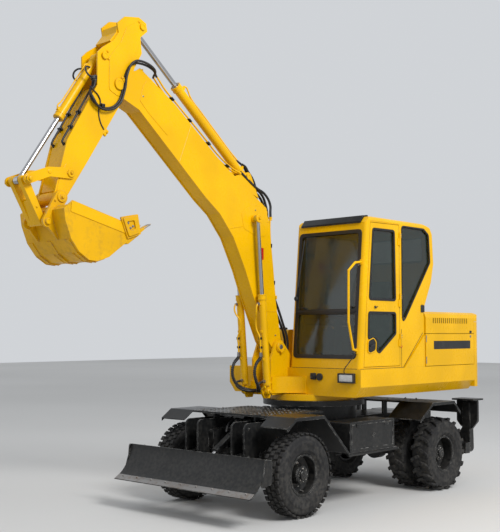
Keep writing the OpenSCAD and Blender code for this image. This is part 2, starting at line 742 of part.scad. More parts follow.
door_window_low = [[-228, 2085], [285, 2085], [285, 1850], [-30, 1640], [-80, 1660], [-80, 1790], [-240, 1790]];
module door() {
    color(yellow) {
        difference() {
            across(cab_left - wall_t, cab_left) polygon(door_profile);
            across(cab_left - wall_t - 1, cab_left + 1) soft(35) polygon(door_window_top);
            across(cab_left - wall_t - 1, cab_left + 1) soft(35) polygon(door_window_low);
        }
        for (z = hinge_rows) {
            translate([cab_left + 9, hinge_y, z]) cylinder(r = 9, h = 90);
            box([cab_left - 1, hinge_y - 32, z + 5], [cab_left + 9, hinge_y - 6, z + 85]);
        }
    }
}
module door_glass() {
    color(glass) {
        across(cab_left - 20, cab_left - 20 + pane_t) soft(35) polygon(door_window_top);
        across(cab_left - 20, cab_left - 20 + pane_t) soft(35) polygon(door_window_low);
    }
}
// Seat frame, side consoles with their levers, and the steering column
seat_z = 1730;
module controls() {
    floor_z = deck_z + wall_t + gap;
    wheel = [cab_mid, -100, 1980];
    color(black) {
        across(cab_mid - 235, cab_mid + 235) polygon([[120, floor_z], [400, floor_z], [560, 1650], [560, seat_z - 20], [120, seat_z - 20]]);
        box([cab_mid - 265, 100, seat_z - 30], [cab_mid + 265, 600, seat_z]);
        for (x = [cab_mid - 375, cab_mid + 275]) {
            across(x, x + 100) polygon([[60, floor_z], [400, floor_z], [520, 1614], [520, 1900], [60, 1900]]);
            translate([x + 50, 130, 1895]) cylinder(r = 14, h = 180);
        }
        translate([wheel[0], wheel[1] - 30, floor_z]) cylinder(r = 45, h = wheel[2] - floor_z + 5);
        translate(wheel) rotate([-25, 0, 0]) {
            rotate_extrude() translate([170, 0]) circle(r = 14, $fn = 16);
            cylinder(r = 50, h = 30, center = true);
            for (a = [0, 120, 240])
                rotate([0, 0, a]) translate([0, -12, -6]) cube([170, 24, 12]);
        }
    }
}
module seat_pads() {
    color("#3a3b3d") {
        across(cab_mid - 230, cab_mid + 230) soft(40) polygon([[60, seat_z + gap], [60, 1850], [500, 1850], [500, seat_z + gap]]);
        across(cab_mid - 220, cab_mid + 220) soft(30) polygon([[500 + gap, seat_z + gap], [600, 2480], [680, 2480], [600, seat_z + gap]]);
    }
}
// Grab rail ahead of the cab's left front post, with a foot plate on the post at each end
rail = [[-441, 1680], [-522, 1970], [-516, 2530], [-400, 2620]];
rail_r = 13;
module handrail() {
    x = cab_left - 52;
    ends = [1664, 2634];
    pts = concat([[front_y(ends[0]) - 6, ends[0]]], rail, [[front_y(ends[1]) - 6, ends[1]]]);
    color(yellow) {
        for (i = [0 : len(pts) - 2])
            bar_yz(x, pts[i], pts[i + 1], rail_r);
        for (p = rail)
            translate([x, p[0], p[1]]) sphere(r = rail_r + 1.5);
        for (z = ends)
            across(x - 14, x + 14) polygon([for (c = [[-gap, -30], [-gap, 30], [-10, 30], [-10, -30]])
                [front_y(z + c[1]) + c[0], z + c[1]]]);
    }
}
module lamps() {
    color("white") {
        box([700, -deck_front - 30, 1315], [910, -deck_front - gap, 1420]);
        translate([420, -deck_front - 20, 1370]) rotate([-90, 0, 0]) cylinder(r = 40, h = 20 - gap);
    }
}

// Hood: a lid over two side doors, behind the cab
weight_top = 1996;
// Outline of the hood from behind, running down past the lid's seam
module hood_section() {
    polygon([[-body_x, deck_z], [-body_x, hood_top - 70], [-body_x + 18, hood_top - 26], [-body_x + 60, hood_top],
        [body_x - 60, hood_top], [body_x - 18, hood_top - 26], [body_x, hood_top - 70], [body_x, deck_z]]);
}
// Outline of the tail from above
module tail_plan() {
    soft(tail_r) polygon([[-body_x, 0], [-body_x, tail], [body_x, tail], [body_x, 0]]);
}
// Side view of the lid down to z, with its rounded rear edge
module lid_side(z) {
    polygon(concat([[hood_front + seam, z], [hood_front + seam, hood_top]],
        [for (a = [0 : 10 : 90]) [tail - hood_r + hood_r * sin(a), hood_top - hood_r + hood_r * cos(a)]],
        [[tail, z]]));
}
module hood_lid() {
    color(yellow) {
        difference() {
            intersection() {
                along(hood_front + seam, tail) hood_section();
                across(-body_x, body_x) lid_side(lid_seam + seam / 2);
                linear_extrude(hood_top) tail_plan();
            }
            intersection() {
                along(hood_front, tail) offset(delta = -sheet_t) hood_section();
                across(-body_x, body_x) offset(delta = -sheet_t) lid_side(deck_z);
                linear_extrude(hood_top) offset(delta = -sheet_t) tail_plan();
            }
            box([-body_x - 1, weight_front - 4, deck_z], [body_x + 1, tail + 1, weight_top + 4]);
            // Cooling slots high on both sides
            for (i = [0 : 17], s = [-1, 1])
                translate([s * (body_x - sheet_t / 2), hood_front + 170 + i * 45, hood_top - 105])
                    cube([sheet_t + 10, 20, 64], center = true);
        }
        // Straps that hang the lid on the bulkhead's top
        for (x = [-500, 500])
            box([x - 40, hood_front + gap, hood_top - 90], [x + 40, hood_front + seam + 5, hood_top - 40]);
    }
}
module engine_door(s) {
    x = body_x - sheet_t;
    color(yellow) mirror([s < 0 ? 1 : 0, 0, 0]) {
        across(x, body_x) polygon([[hood_front + seam, deck_z + seam], [hood_front + seam, lid_seam - seam / 2],
            [weight_front - seam, lid_seam - seam / 2], [weight_front - seam, deck_z + seam]]);
        // Hinge straps against the bulkhead
        for (z = [deck_z + 80, lid_seam - 130])
            box([x, hood_front + gap, z], [x + 6, hood_front + seam + 5, z + 50]);
    }
}
module engine_door_left() {
    engine_door(1);
}
module engine_door_right() {
    engine_door(-1);
}
module counterweight() {
    color(yellow) difference() {
        translate([0, 0, body_z + 30]) linear_extrude(weight_top - body_z - 30) intersection() {
            tail_plan();
            translate([-body_x, weight_front]) square([2 * body_x, tail - weight_front]);
        }
        box([-body_x + 100, weight_front - 1, deck_z], [body_x - 100, weight_front + 60, weight_top + 1]);
    }
}
// The engine's room behind the bulkhead, ahead of the counterweight and under the lid
engine_room = [250, 140, 210];
module engine_block() {
    color("#4a4d50") box([-430, hood_front + engine_room[0], body_z + 40 + gap],
        [430, weight_front - engine_room[1], hood_top - engine_room[2]]);
}

// Boom: a box with a bend, its cylinder boss, and the foot of the arm cylinder on its back
boom_outline = [[-460, 1720], [-470, 1785], [-570, 2280], [-640, 2840], [-670, 3130], [-760, 3300], [-1000, 3440],
    [-1440, 3700], [-2120, 4215], [-2600, 4500], [-2740, 4400], [-2740, 4190], [-1670, 3290], [-1460, 3140],
    [-1250, 2900], [-1060, 2550], [-940, 2280], [-680, 1760], [-620, 1690]];
module boom() {
    color(yellow) translate([boom_x, 0, 0]) difference() {
        union() {
            across(-boom_hw + 12, boom_hw - 12) offset(delta = -plate_lip) polygon(boom_outline);
            for (s = [-1, 1])
                translate([s * (boom_hw - 7) - 7, 0, 0]) across(0, 14) difference() {
                    polygon(boom_outline);
                    disc2d(pin_stick, 160);
                }
            bar_x(pin_foot, 78, -foot_in + 3, foot_in - 3);
            hull() {
                bar_x(pin_stick, 85, -boom_hw, boom_hw);
                across(-boom_hw, boom_hw) polygon([[-2560, 4500], [-2560, 4060], [-2620, 4100]]);
            }
            across(-boom_hw, boom_hw) hull() {
                disc2d(pin_ram_head, 72);
                polygon([[-700, 3240], [-700, 2960], [-1100, 3000]]);
            }
            bar_x(pin_ram_head, 40, -foot_out + 1, foot_out - 1);
            for (s = [-1, 1])
                translate([s * (arm_eye / 2 + 16) - 11, 0, 0]) across(0, 22) hull() {
                    disc2d(pin_arm_foot, 52);
                    polygon([[-820, 3380], [-1250, 3570], [-1000, 3440]]);
                }
        }
        bar_x(pin_foot, pin_r + gap, -200, 200);
        bar_x(pin_stick, pin_r + gap, -200, 200);
        bar_x(pin_arm_foot, 24 + gap, -200, 200);
    }
}
// Steel pipes along the boom's back, beside each other, on the straight stretches from a to b
pipe_r = 8;
plate_lip = 10;
arm_eye = 104;
module back_pipe(x, a, b) {
    n = [b[1] - a[1], a[0] - b[0]] / norm(b - a) * (pipe_r + gap - plate_lip);
    bar_yz(x, a + n, b + n, pipe_r, 30, 30);
}
module boom_pipes() {
    color(steel) translate([boom_x, 0, 0]) for (x = [boom_hw - 46, boom_hw - 24]) {
        back_pipe(x, [-1440, 3700], [-2120, 4215]);
        back_pipe(x, [-570, 2280], [-640, 2840]);
    }
}
ram_len = norm(pin_ram_head - pin_ram_foot);
module boom_tubes() {
    color(yellow) translate([boom_x, 0, 0]) for (s = [-1, 1])
        aim_yz(s * ram_x, pin_ram_foot, pin_ram_head) barrel(ram_r, 25, 70, ram_len - 850, 40, ram_eye, 24 + gap);
}
module boom_rods() {
    color(steel) translate([boom_x, 0, 0]) for (s = [-1, 1])
        aim_yz(s * ram_x, pin_ram_foot, pin_ram_head) piston_rod(25, 780, ram_len, 38, 40);
}
stick_outline = [[-2545, 4960], [-2640, 5000], [-2820, 4965], [-2915, 4880], [-2895, 4790], [-2965, 4690],
    [-3090, 4600], [-3150, 4540], [-3150, 4220], [-3490, 3640], [-3632, 3105], [-3575, 3040], [-3512, 3074],
    [-3260, 3460], [-2790, 4200], [-2690, 4480], [-2600, 4640], [-2620, 4800], [-2530, 4880]];
stick_core = [[-3150, 4220], [-3490, 3640], [-3620, 3150], [-3530, 3080], [-3260, 3460], [-3020, 3840], [-3080, 4100]];
module stick() {
    color(yellow) translate([boom_x, 0, 0]) difference() {
        union() {
            for (s = [-1, 1])
                translate([s * (stick_hw - stick_t / 2) - stick_t / 2, 0, 0]) across(0, stick_t) polygon(stick_outline);
            across(-stick_hw + stick_t - 1, stick_hw - stick_t + 1) offset(delta = -10) polygon(stick_core);
            // Cross plate between the side plates over the stick's head
            across(-stick_hw + stick_t - 1, stick_hw - stick_t + 1) polygon([[-2900, 4860], [-2885, 4770],
                [-2960, 4670], [-2990, 4690], [-2915, 4790]]);
            bar_x(pin_bucket, 62, -stick_hw - 1, stick_hw + 1);
            bar_x(pin_stick, pin_r, -stick_hw - 14, stick_hw + 14);
            bar_x(pin_arm_head, 24, -stick_hw - 12, -40);
            bar_x(pin_arm_head, 24, 40, stick_hw + 12);
            bar_x(pin_bucket_foot, 22, -stick_hw - 12, stick_hw + 12);
            bar_x(pin_rocker, 26, -stick_hw - 24, stick_hw + 24);
        }
        bar_x(pin_bucket, pin_r + gap, -200, 200);
    }
}
arm_len_rest = norm(pin_arm_head - pin_arm_foot);
module arm_tube() {
    color(yellow) translate([boom_x, 0, 0]) {
        aim_yz(0, pin_arm_foot, pin_arm_head) barrel(arm_ram_r, 28, 36, arm_len_rest - 735, 46, arm_eye, 23);
        bar_x(pin_arm_foot, 24, -arm_eye / 2 - 32, arm_eye / 2 + 32);
    }
}
module arm_rod() {
    color(steel) translate([boom_x, 0, 0])
        aim_yz(0, pin_arm_foot, pin_arm_head) piston_rod(28, 690, arm_len_rest, 42, 70);
}
bucket_len_rest = norm(pin_link_top - pin_bucket_foot);
module bucket_tube() {
    color(yellow) translate([boom_x, 0, 0])
        aim_yz(0, pin_bucket_foot, pin_link_top) barrel(bucket_ram_r, 24, 34, bucket_len_rest - 755, 40, 80, 22 + gap);
}
module bucket_rod() {
    color(steel) translate([boom_x, 0, 0])
        aim_yz(0, pin_bucket_foot, pin_link_top) piston_rod(24, 624, bucket_len_rest, 38, 64);
}
// Where the rocker's arched plates bend
rocker_bend = (pin_rocker + pin_link_top) / 2 + [-12, 38];
module rocker() {
    color(yellow) translate([boom_x, 0, 0]) difference() {
        for (s = [-1, 1])
            translate([s * (stick_hw + 14) - 9, 0, 0]) across(0, 18) {
                hull() {
                    disc2d(pin_rocker, 52);
                    disc2d(rocker_bend, 44);
                }
                hull() {
                    disc2d(rocker_bend, 44);
                    disc2d(pin_link_top, 46);
                }
            }
        bar_x(pin_rocker, 26 + gap, -200, 200);
        bar_x(pin_link_top, 24 + gap, -200, 200);
    }
}
link_eye = 32;
module bucket_link() {
    color(yellow) translate([boom_x, 0, 0]) {
        for (s = [-1, 1]) {
            across(s * 72 - 26, s * 72 + 26) hull() {
                disc2d(pin_link_top, 42);
                disc2d(pin_link_low + (pin_link_top - pin_link_low) * 0.1, link_eye);
            }
            bar_x(pin_link_top, 24, s * 105 - 60, s * 105 + 60);
        }
        across(-98, 98) hull() {
            disc2d(pin_link_low, link_eye);
            disc2d(pin_link_low + (pin_link_top - pin_link_low) * 0.5, 24);
        }
        bar_x(pin_link_low, 22, -stick_hw - 5 + gap, stick_hw + 5 - gap);
    }
}
bucket_side = [[-3672, 2968], [-3578, 3050], [-2985, 2905], [-2915, 2740], [-3160, 2560], [-3290, 2515],
    [-3390, 2522], [-3500, 2590], [-3590, 2700], [-3655, 2860]];
bucket_inner = [[-3648, 2962], [-3600, 3060], [-2900, 3000], [-2845, 2814], [-3168, 2577], [-3288, 2533],
    [-3382, 2540], [-3486, 2604], [-3572, 2710], [-3635, 2865]];
strap_t = 8;
module bucket() {
    w = bucket_w / 2;
    color(yellow) translate([boom_x, 0, 0]) {
        difference() {
            across(-w, w) polygon(bucket_side);
            across(-w + 16, w - 16) polygon(bucket_inner);
        }
        for (s = [-1, 1])
            mirror([s < 0 ? 1 : 0, 0, 0]) {
                across(stick_hw + 5, stick_hw + 35) hull() {
                    disc2d(pin_bucket, 66);
                    disc2d(pin_link_low, 50);
                    polygon([[-3560, 2960], [-3655, 2880]]);
                }
                across(stick_hw + 5, stick_hw + 35) polygon([pin_link_low + [-46, 16], [-3610, 2700], [-3600, 2720],
                    [-3640, 2900]]);
                bar_x(pin_link_low, 30, stick_hw + 34, stick_hw + 46);
                across(w - 1, w + 17) soft(12) polygon([[-3040, 2945], [-2830, 2990], [-2790, 2800], [-2950, 2745]]);
            }
        // Wear straps round the bucket's belly
        for (s = [-1, 0, 1])
            across(s * (w - 60) - 30, s * (w - 60) + 30) difference() {
                intersection() {
                    offset(delta = strap_t) polygon(bucket_side);
                    polygon([[-3700, 2650], [-3200, 2400], [-3180, 2600], [-3450, 2760]]);
                }
                offset(delta = -1) polygon(bucket_side);
            }
        across(-stick_hw - 20, stick_hw + 20) polygon([[-3655, 2975], [-3580, 3010], [-3600, 2940],
            [-3640, 2870], [-3655, 2860]]);
        for (i = [0 : tooth_n - 1])
            translate([-w + 40 + i * (bucket_w - 80) / (tooth_n - 1) - 32, 0, 0]) across(0, 64)
                polygon([[-2960, 2720], [-2930, 2700], [-2640, 2915], [-2800, 2840], [-2975, 2745]]);
        bar_x(pin_bucket, pin_r, -stick_hw - 50, stick_hw + 50);
    }
}

chassis_frame();
front_axle();
rear_axle();
drive_line();
fenders();
tool_box();
fuel_tank();
blade();
blade_tube();
blade_rod();
stabiliser_left();
stabiliser_right();
stab_tube_left();
stab_tube_right();
stab_rod_left();
stab_rod_right();
knuckle_left();
knuckle_right();
tie_rod();
tyre_front_left();
tyre_front_right();
tyres_rear_left();
tyres_rear_right();
rim_front_left();
rim_front_right();
rims_rear_left();
rims_rear_right();
upper_frame();
boom_foot();
cab_shell();
cab_glass();
door();
door_glass();
controls();
seat_pads();
handrail();
lamps();
hood_lid();
engine_door_left();
engine_door_right();
side_locker();
counterweight();
engine_block();
boom();
boom_pipes();
boom_tubes();
boom_rods();
stick();
arm_tube();
arm_rod();
bucket_tube();
bucket_rod();
rocker();
bucket_link();
bucket();
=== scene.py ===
# A wheeled excavator with a slewing upper body, seen from its front left corner.
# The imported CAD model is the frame. The scene is put together as the machine is: undercarriage, wheels,
# blade and stabilisers, upper body, cab, boom, stick and bucket. Lengths are metres; the front faces -Y.
import math

import bpy
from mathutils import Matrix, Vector


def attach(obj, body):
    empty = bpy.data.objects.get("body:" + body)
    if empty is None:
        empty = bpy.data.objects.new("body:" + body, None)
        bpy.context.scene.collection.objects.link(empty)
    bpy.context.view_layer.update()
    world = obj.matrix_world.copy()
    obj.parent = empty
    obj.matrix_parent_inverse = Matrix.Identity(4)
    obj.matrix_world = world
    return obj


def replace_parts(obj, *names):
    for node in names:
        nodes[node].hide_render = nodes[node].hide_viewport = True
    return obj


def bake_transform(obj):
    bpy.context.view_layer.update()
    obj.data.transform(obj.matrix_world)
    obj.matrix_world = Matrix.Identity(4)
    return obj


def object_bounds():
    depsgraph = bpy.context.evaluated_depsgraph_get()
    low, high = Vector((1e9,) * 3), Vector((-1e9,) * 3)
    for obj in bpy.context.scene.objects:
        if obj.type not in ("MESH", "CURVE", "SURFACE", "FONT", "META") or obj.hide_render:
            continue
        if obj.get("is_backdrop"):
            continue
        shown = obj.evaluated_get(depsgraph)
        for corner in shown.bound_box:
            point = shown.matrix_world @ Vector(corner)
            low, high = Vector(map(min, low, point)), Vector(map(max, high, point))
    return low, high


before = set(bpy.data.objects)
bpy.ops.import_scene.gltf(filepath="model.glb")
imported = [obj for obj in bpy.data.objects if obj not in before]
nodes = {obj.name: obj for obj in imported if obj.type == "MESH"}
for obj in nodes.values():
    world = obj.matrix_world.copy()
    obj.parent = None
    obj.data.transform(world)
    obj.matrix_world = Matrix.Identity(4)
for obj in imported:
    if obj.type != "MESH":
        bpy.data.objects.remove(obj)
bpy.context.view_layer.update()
pi = math.pi

# Camera at the photograph's place: low, off the machine's front left corner, with a long lens. Its place was
# fitted to points on the wheels, the cab and the boom.
bpy.ops.object.camera_add(location=(7.152, -8.747, 1.859), rotation=(math.radians(93.452), 0,
    math.radians(42.621)))
camera = bpy.context.object
camera.name = "camera"
camera.data.lens = 64.82
camera.data.sensor_width = 36
camera.data.shift_x = -0.0135
camera.data.shift_y = 0.017
camera.data.clip_end = 200
bpy.context.scene.camera = camera


def surface(name, base, dust, rough, worn=None, wear=0.5, metal=0.0, dusty=0.4, edge=0.004,
        grain=260.0, depth=0.12, low_dirt=0.0, patch=2.2, shine=0.5):
    m = bpy.data.materials.new(name)
    m.use_nodes = True
    tree = m.node_tree
    link = tree.links.new
    shader = tree.nodes["Principled BSDF"]

    def add(kind, **settings):
        n = tree.nodes.new(kind)
        for key, value in settings.items():
            setattr(n, key, value)
        return n

    place = add("ShaderNodeTexCoord").outputs["Object"]

    def noise(scale, detail, stretch=None):
        n = add("ShaderNodeTexNoise")
        n.inputs["Scale"].default_value = scale
        n.inputs["Detail"].default_value = detail
        source = place
        if stretch:
            mapping = add("ShaderNodeMapping")
            mapping.inputs["Scale"].default_value = stretch
            link(place, mapping.inputs["Vector"])
            source = mapping.outputs["Vector"]
        link(source, n.inputs["Vector"])
        return n.outputs["Fac"]

    def ramp(source, a, b, low=0.0, high=1.0):
        n = add("ShaderNodeMapRange")
        for key, value in (("From Min", a), ("From Max", b), ("To Min", low), ("To Max", high)):
            n.inputs[key].default_value = value
        link(source, n.inputs["Value"])
        return n.outputs["Result"]

    def times(p, q):
        n = add("ShaderNodeMath", operation="MULTIPLY")
        link(p, n.inputs[0])
        link(q, n.inputs[1])
        return n.outputs[0]

    def mix(fac, a, b):
        n = add("ShaderNodeMix", data_type="RGBA")
        link(fac, n.inputs[0])
        for socket, value in ((n.inputs[6], a), (n.inputs[7], b)):
            if isinstance(value, tuple):
                socket.default_value = (*value, 1)
            else:
                link(value, socket)
        return n.outputs[2]

    patches = noise(patch, 3)
    fine = noise(28.0, 6)
    colour = mix(ramp(patches, 0.35, 0.65), base, tuple(c * 0.86 for c in base))
    streaks = noise(9.0, 5, (1.0, 1.0, 0.25))
    colour = mix(ramp(times(streaks, fine), 0.22, 0.42, 0.0, dusty), colour, dust)
    if low_dirt:
        z = add("ShaderNodeSeparateXYZ")
        link(place, z.inputs[0])
        splash = ramp(z.outputs[2], 1.15, 0.25, 0.0, low_dirt)
        colour = mix(times(splash, ramp(fine, 0.3, 0.62)), colour, dust)
    if worn:
        soft = add("ShaderNodeBevel", samples=4)
        soft.inputs["Radius"].default_value = edge
        plain = add("ShaderNodeNewGeometry").outputs["Normal"]
        near = add("ShaderNodeVectorMath", operation="DOT_PRODUCT")
        link(soft.outputs["Normal"], near.inputs[0])
        link(plain, near.inputs[1])
        rubbed = times(ramp(near.outputs["Value"], 0.985, 0.9), ramp(noise(14.0, 4), 0.45, 0.62, 0.0, wear))
        colour = mix(rubbed, colour, worn)
    link(colour, shader.inputs["Base Color"])
    link(ramp(times(patches, fine), 0.1, 0.45, rough - 0.08, rough + 0.14),
        shader.inputs["Roughness"])
    shader.inputs["Metallic"].default_value = metal
    shader.inputs["Specular IOR Level"].default_value = shine
    bump = add("ShaderNodeBump")
    bump.inputs["Strength"].default_value = depth
    bump.inputs["Distance"].default_value = 0.002
    link(noise(grain, 3), bump.inputs["Height"])
    link(bump.outputs["Normal"], shader.inputs["Normal"])
    return m


def dress(finish, *names):
    for name in names:
        slots = nodes[name].material_slots
        for slot in slots:
            slot.material = finish
        if not slots:
            nodes[name].data.materials.append(finish)


# Undercarriage: welded steel in satin black paint under a film of grey dust, brighter where edges have
# rubbed. The tie rod and the small bolts are bare steel, dulled by rust.
black_paint = surface("black_paint", (0.006, 0.0065, 0.007), (0.075, 0.07, 0.062), 0.36,
    worn=(0.34, 0.33, 0.31), dusty=0.14, wear=1.0, edge=0.005, low_dirt=0.25, depth=0.1, shine=0.3)
dress(black_paint, "chassis_frame", "fenders", "tool_box", "fuel_tank", "front_axle", "rear_axle",
    "drive_line", "knuckle_left", "knuckle_right", "stabiliser_left", "stabiliser_right", "blade",
    "blade_tube", "stab_tube_left", "stab_tube_right", "rim_front_left", "rim_front_right", "rims_rear_left",
    "rims_rear_right")
bare_steel = surface("bare_steel", (0.33, 0.32, 0.31), (0.2, 0.13, 0.08), 0.42,
    worn=(0.55, 0.54, 0.53), metal=0.85, dusty=0.5, wear=0.3, depth=0.15)
dress(bare_steel, "tie_rod")


# Small parts are drawn in edit mode, many to a mesh. Turned ones grow ring by ring from a circle along their
# axis, bolts are turned with six sides over a washer, and whole groups are repeated round an axle.
def draw(name):
    bpy.ops.object.select_all(action="DESELECT")
    bpy.ops.object.add(type="MESH", location=(0, 0, 0))
    bpy.context.object.name = name
    bpy.ops.object.mode_set(mode="EDIT")


def turned(start, way, steps, sides=24, closed=True):
    start = Vector(start)
    turn = Vector(way).to_track_quat("Z", "Y")
    bpy.ops.mesh.select_all(action="DESELECT")
    bpy.ops.mesh.primitive_circle_add(vertices=sides, radius=steps[0][1],
        fill_type="NGON" if closed else "NOTHING", location=start + turn @ Vector((0, 0, steps[0][0])),
        rotation=turn.to_euler())
    for (d0, r0), (d1, r1) in zip(steps, steps[1:]):
        bpy.ops.mesh.extrude_region_move(TRANSFORM_OT_translate={"value": turn @ Vector((0, 0, d1 - d0))})
        if r1 != r0:
            bpy.ops.transform.resize(value=(r1 / r0,) * 3, center_override=start + turn @ Vector((0, 0, d1)))


def bolt(place, way, r=0.012, washer=1.5):
    turned(place, way, [(0, r * washer), (r * 0.25, r * washer), (r * 0.25 + 0.0005, r), (r * 1.1, r),
        (r * 1.25, r * 0.8)], 6)


def close(body, finish, angle=35):
    bpy.ops.mesh.select_all(action="SELECT")
    bpy.ops.mesh.remove_doubles(threshold=0.00005)
    bpy.ops.mesh.normals_make_consistent(inside=False)
    bpy.ops.object.mode_set(mode="OBJECT")
    piece = bpy.context.object
    bpy.ops.object.shade_smooth_by_angle(angle=math.radians(angle))
    piece.data.materials.append(finish)
    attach(piece, body)
    return piece


def around(count, centre, axis=(1, 0, 0)):
    bpy.ops.mesh.spin(steps=count, dupli=True, angle=2 * pi, center=centre, axis=axis)


# The turntable is held by a ring of thirty steel bolts on its flange. Turned caps close the pins of the
# blade's arms in the frame's front ears, each with a keeper bolt beside it.
draw("turntable_bolts")
bolt((0.562, 0, 1.1), (0, 0, 1), 0.013)
around(30, (0, 0, 1.1), (0, 0, 1))
close("chassis", bare_steel)

draw("front_pin_caps")
for s in (-1, 1):
    for x, way in ((s * 0.44, s), (s * 0.24, -s)):
        turned((x, -1.38, 0.6), (way, 0, 0), [(0, 0.046), (0.01, 0.046), (0.014, 0.042), (0.014, 0.03),
            (0.011, 0.027)], 28)
        bolt((x, -1.325, 0.635), (way, 0, 0), 0.01)
    turned((s * 0.262, -1.29, 0.83), (s, 0, 0), [(0, 0.042), (0.012, 0.042), (0.016, 0.036)])
    for y, z in ((-1.58, 0.88), (-1.16, 0.88), (-1.58, 0.6)):
        bolt((s * 0.44, y, z), (s, 0, 0), 0.011)
close("chassis", black_paint)


# Tread plate on the front deck: steel rolled with rows of raised lozenges, painted with the frame. One pair
# of lozenges is drawn, as blocks with broken edges, and repeated both ways.
def block(centre, size, turn=(0, 0, 0), edge=0.003, steps=2):
    bpy.ops.mesh.select_all(action="DESELECT")
    bpy.ops.mesh.primitive_cube_add(size=1, location=centre, rotation=turn, scale=size)
    if edge:
        bpy.ops.mesh.bevel(offset=edge, segments=steps, affect="EDGES", profile=0.6)


def repeat(piece, *rows):
    for count, step in rows:
        bpy.ops.object.modifier_add(type="ARRAY")
        row = piece.modifiers[-1]
        row.count = count
        row.use_relative_offset = False
        row.use_constant_offset = True
        row.constant_offset_displace = step
        bpy.ops.object.modifier_apply(modifier=row.name)


draw("deck_tread")
for x, y, turn in ((-0.535, -1.395, 0.7), (-0.505, -1.365, -0.7)):
    block((x, y, 1.0105), (0.03, 0.008, 0.003), (0, 0, turn), edge=0.001, steps=1)
repeat(close("chassis", black_paint), (18, (0.06, 0, 0)), (15, (0, 0.06, 0)))


# Steel bolts hold the fenders. The tool box of painted sheet shows its lid's seam, a turned lock and two
# hinges, with a toothed steel step below; the fuel tank has a cap and two straps.
def rod(a, b, r, sides=20, cap=0.0):
    length = (Vector(b) - Vector(a)).length
    turned(a, Vector(b) - Vector(a), [(0, r - cap), (cap, r), (length - cap, r),
        (length, r - cap)] if cap else [(0, r), (length, r)], sides)


draw("fender_bolts")
for s in (-1, 1):
    for x in (0.34, 0.5):
        for y in (-1.3, -1.0):
            bolt((s * x, y, 1.01), (0, 0, 1), 0.01)
        for y in (1.0, 1.4):
            bolt((s * x, y, 1.04), (0, 0, 1), 0.01)
close("chassis", bare_steel)

draw("tool_box_lid")
for y0, z0, y1, z1 in ((-0.5, 0.615, 0.26, 0.615), (-0.5, 0.875, 0.26, 0.875), (-0.5, 0.615, -0.5, 0.875),
        (0.26, 0.615, 0.26, 0.875)):
    rod((0.93, y0, z0), (0.93, y1, z1), 0.005, 8)
turned((0.93, -0.1, 0.745), (1, 0, 0), [(0, 0.026), (0.005, 0.026), (0.008, 0.022), (0.006, 0.012)])
block((0.937, -0.1, 0.745), (0.005, 0.004, 0.016), edge=0.001, steps=1)
for y in (-0.38, 0.14):
    rod((0.934, y - 0.04, 0.875), (0.934, y + 0.04, 0.875), 0.008, 12, 0.002)
    block((0.933, y, 0.855), (0.006, 0.07, 0.03), edge=0.001)
close("chassis", black_paint)

draw("step_teeth")
block((0.91, -0.52, 0.58), (0.024, 0.01, 0.01), edge=0.002, steps=1)
repeat(close("chassis", bare_steel), (38, (0, 0.0232, 0)))

draw("fuel_cap")
turned((-0.8, 0.06, 0.939), (0, 0, 1), [(0, 0.047), (0.012, 0.05), (0.02, 0.048), (0.024, 0.036)], 16)
for y in (-0.4, 0.16):
    block((-0.78, y, 0.742), (0.308, 0.04, 0.33), edge=0.008)
close("chassis", black_paint)


# Hydraulic hoses of smooth black rubber, and painted steel pipes: a curve through the places of its clamps
# with a round section, turned into a mesh. A hose between two bodies is attached to neither.
hose_rubber = surface("hose_rubber", (0.01, 0.01, 0.011), (0.06, 0.055, 0.05), 0.5, dusty=0.3,
    depth=0.4, grain=600.0)


def hose(name, points, r, body, finish=hose_rubber, sides=4):
    bpy.ops.object.select_all(action="DESELECT")
    bpy.ops.curve.primitive_bezier_curve_add(location=(0, 0, 0))
    piece = bpy.context.object
    piece.name = name
    curve = piece.data
    curve.dimensions = "3D"
    line = curve.splines[0]
    line.bezier_points.add(len(points) - 2)
    for knot, place in zip(line.bezier_points, points):
        knot.co = place
        knot.handle_left_type = "AUTO"
        knot.handle_right_type = "AUTO"
    line.resolution_u = 8
    curve.bevel_depth = r
    curve.bevel_resolution = sides
    curve.use_fill_caps = True
    bpy.ops.object.convert(target="MESH")
    bpy.ops.object.shade_smooth_by_angle(angle=math.radians(50))
    piece.data.materials.append(finish)
    if body:
        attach(piece, body)
    return piece


def flexing(name, points, r):
    piece = hose(name, points, r, None)
    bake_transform(piece)


for k, x in enumerate((-0.06, 0.06)):
    flexing(f"blade_hose_{k}", [(x, -1.13, 0.9), (x, -1.2, 0.93), (x * 0.9, -1.29, 0.93),
        (x * 0.8, -1.38, 0.88), (x * 0.5, -1.43, 0.81 - 0.02 * k)], 0.011)
hose("blade_pipe", [(0.03, -1.41, 0.805), (0.052, -1.45, 0.775), (0.054, -1.52, 0.725),
    (0.054, -1.58, 0.687), (0.03, -1.6, 0.664)], 0.006, "blade_tube", black_paint)
for s in (-1, 1):
    hose(f"axle_hose_{s + 1}", [(s * 0.18, -1.05, 0.56), (s * 0.2, -1.12, 0.47), (s * 0.3, -1.17, 0.44),
        (s * 0.42, -1.18, 0.47)], 0.009, "chassis")
    hose(f"drum_hose_{s + 1}", [(s * 0.16, -0.52, 0.95), (s * 0.17, -0.58, 0.93), (s * 0.18, -0.7, 0.9),
        (s * 0.2, -0.86, 0.895), (s * 0.17, -1.0, 0.89), (s * 0.16, -1.12, 0.9)], 0.013, "chassis")

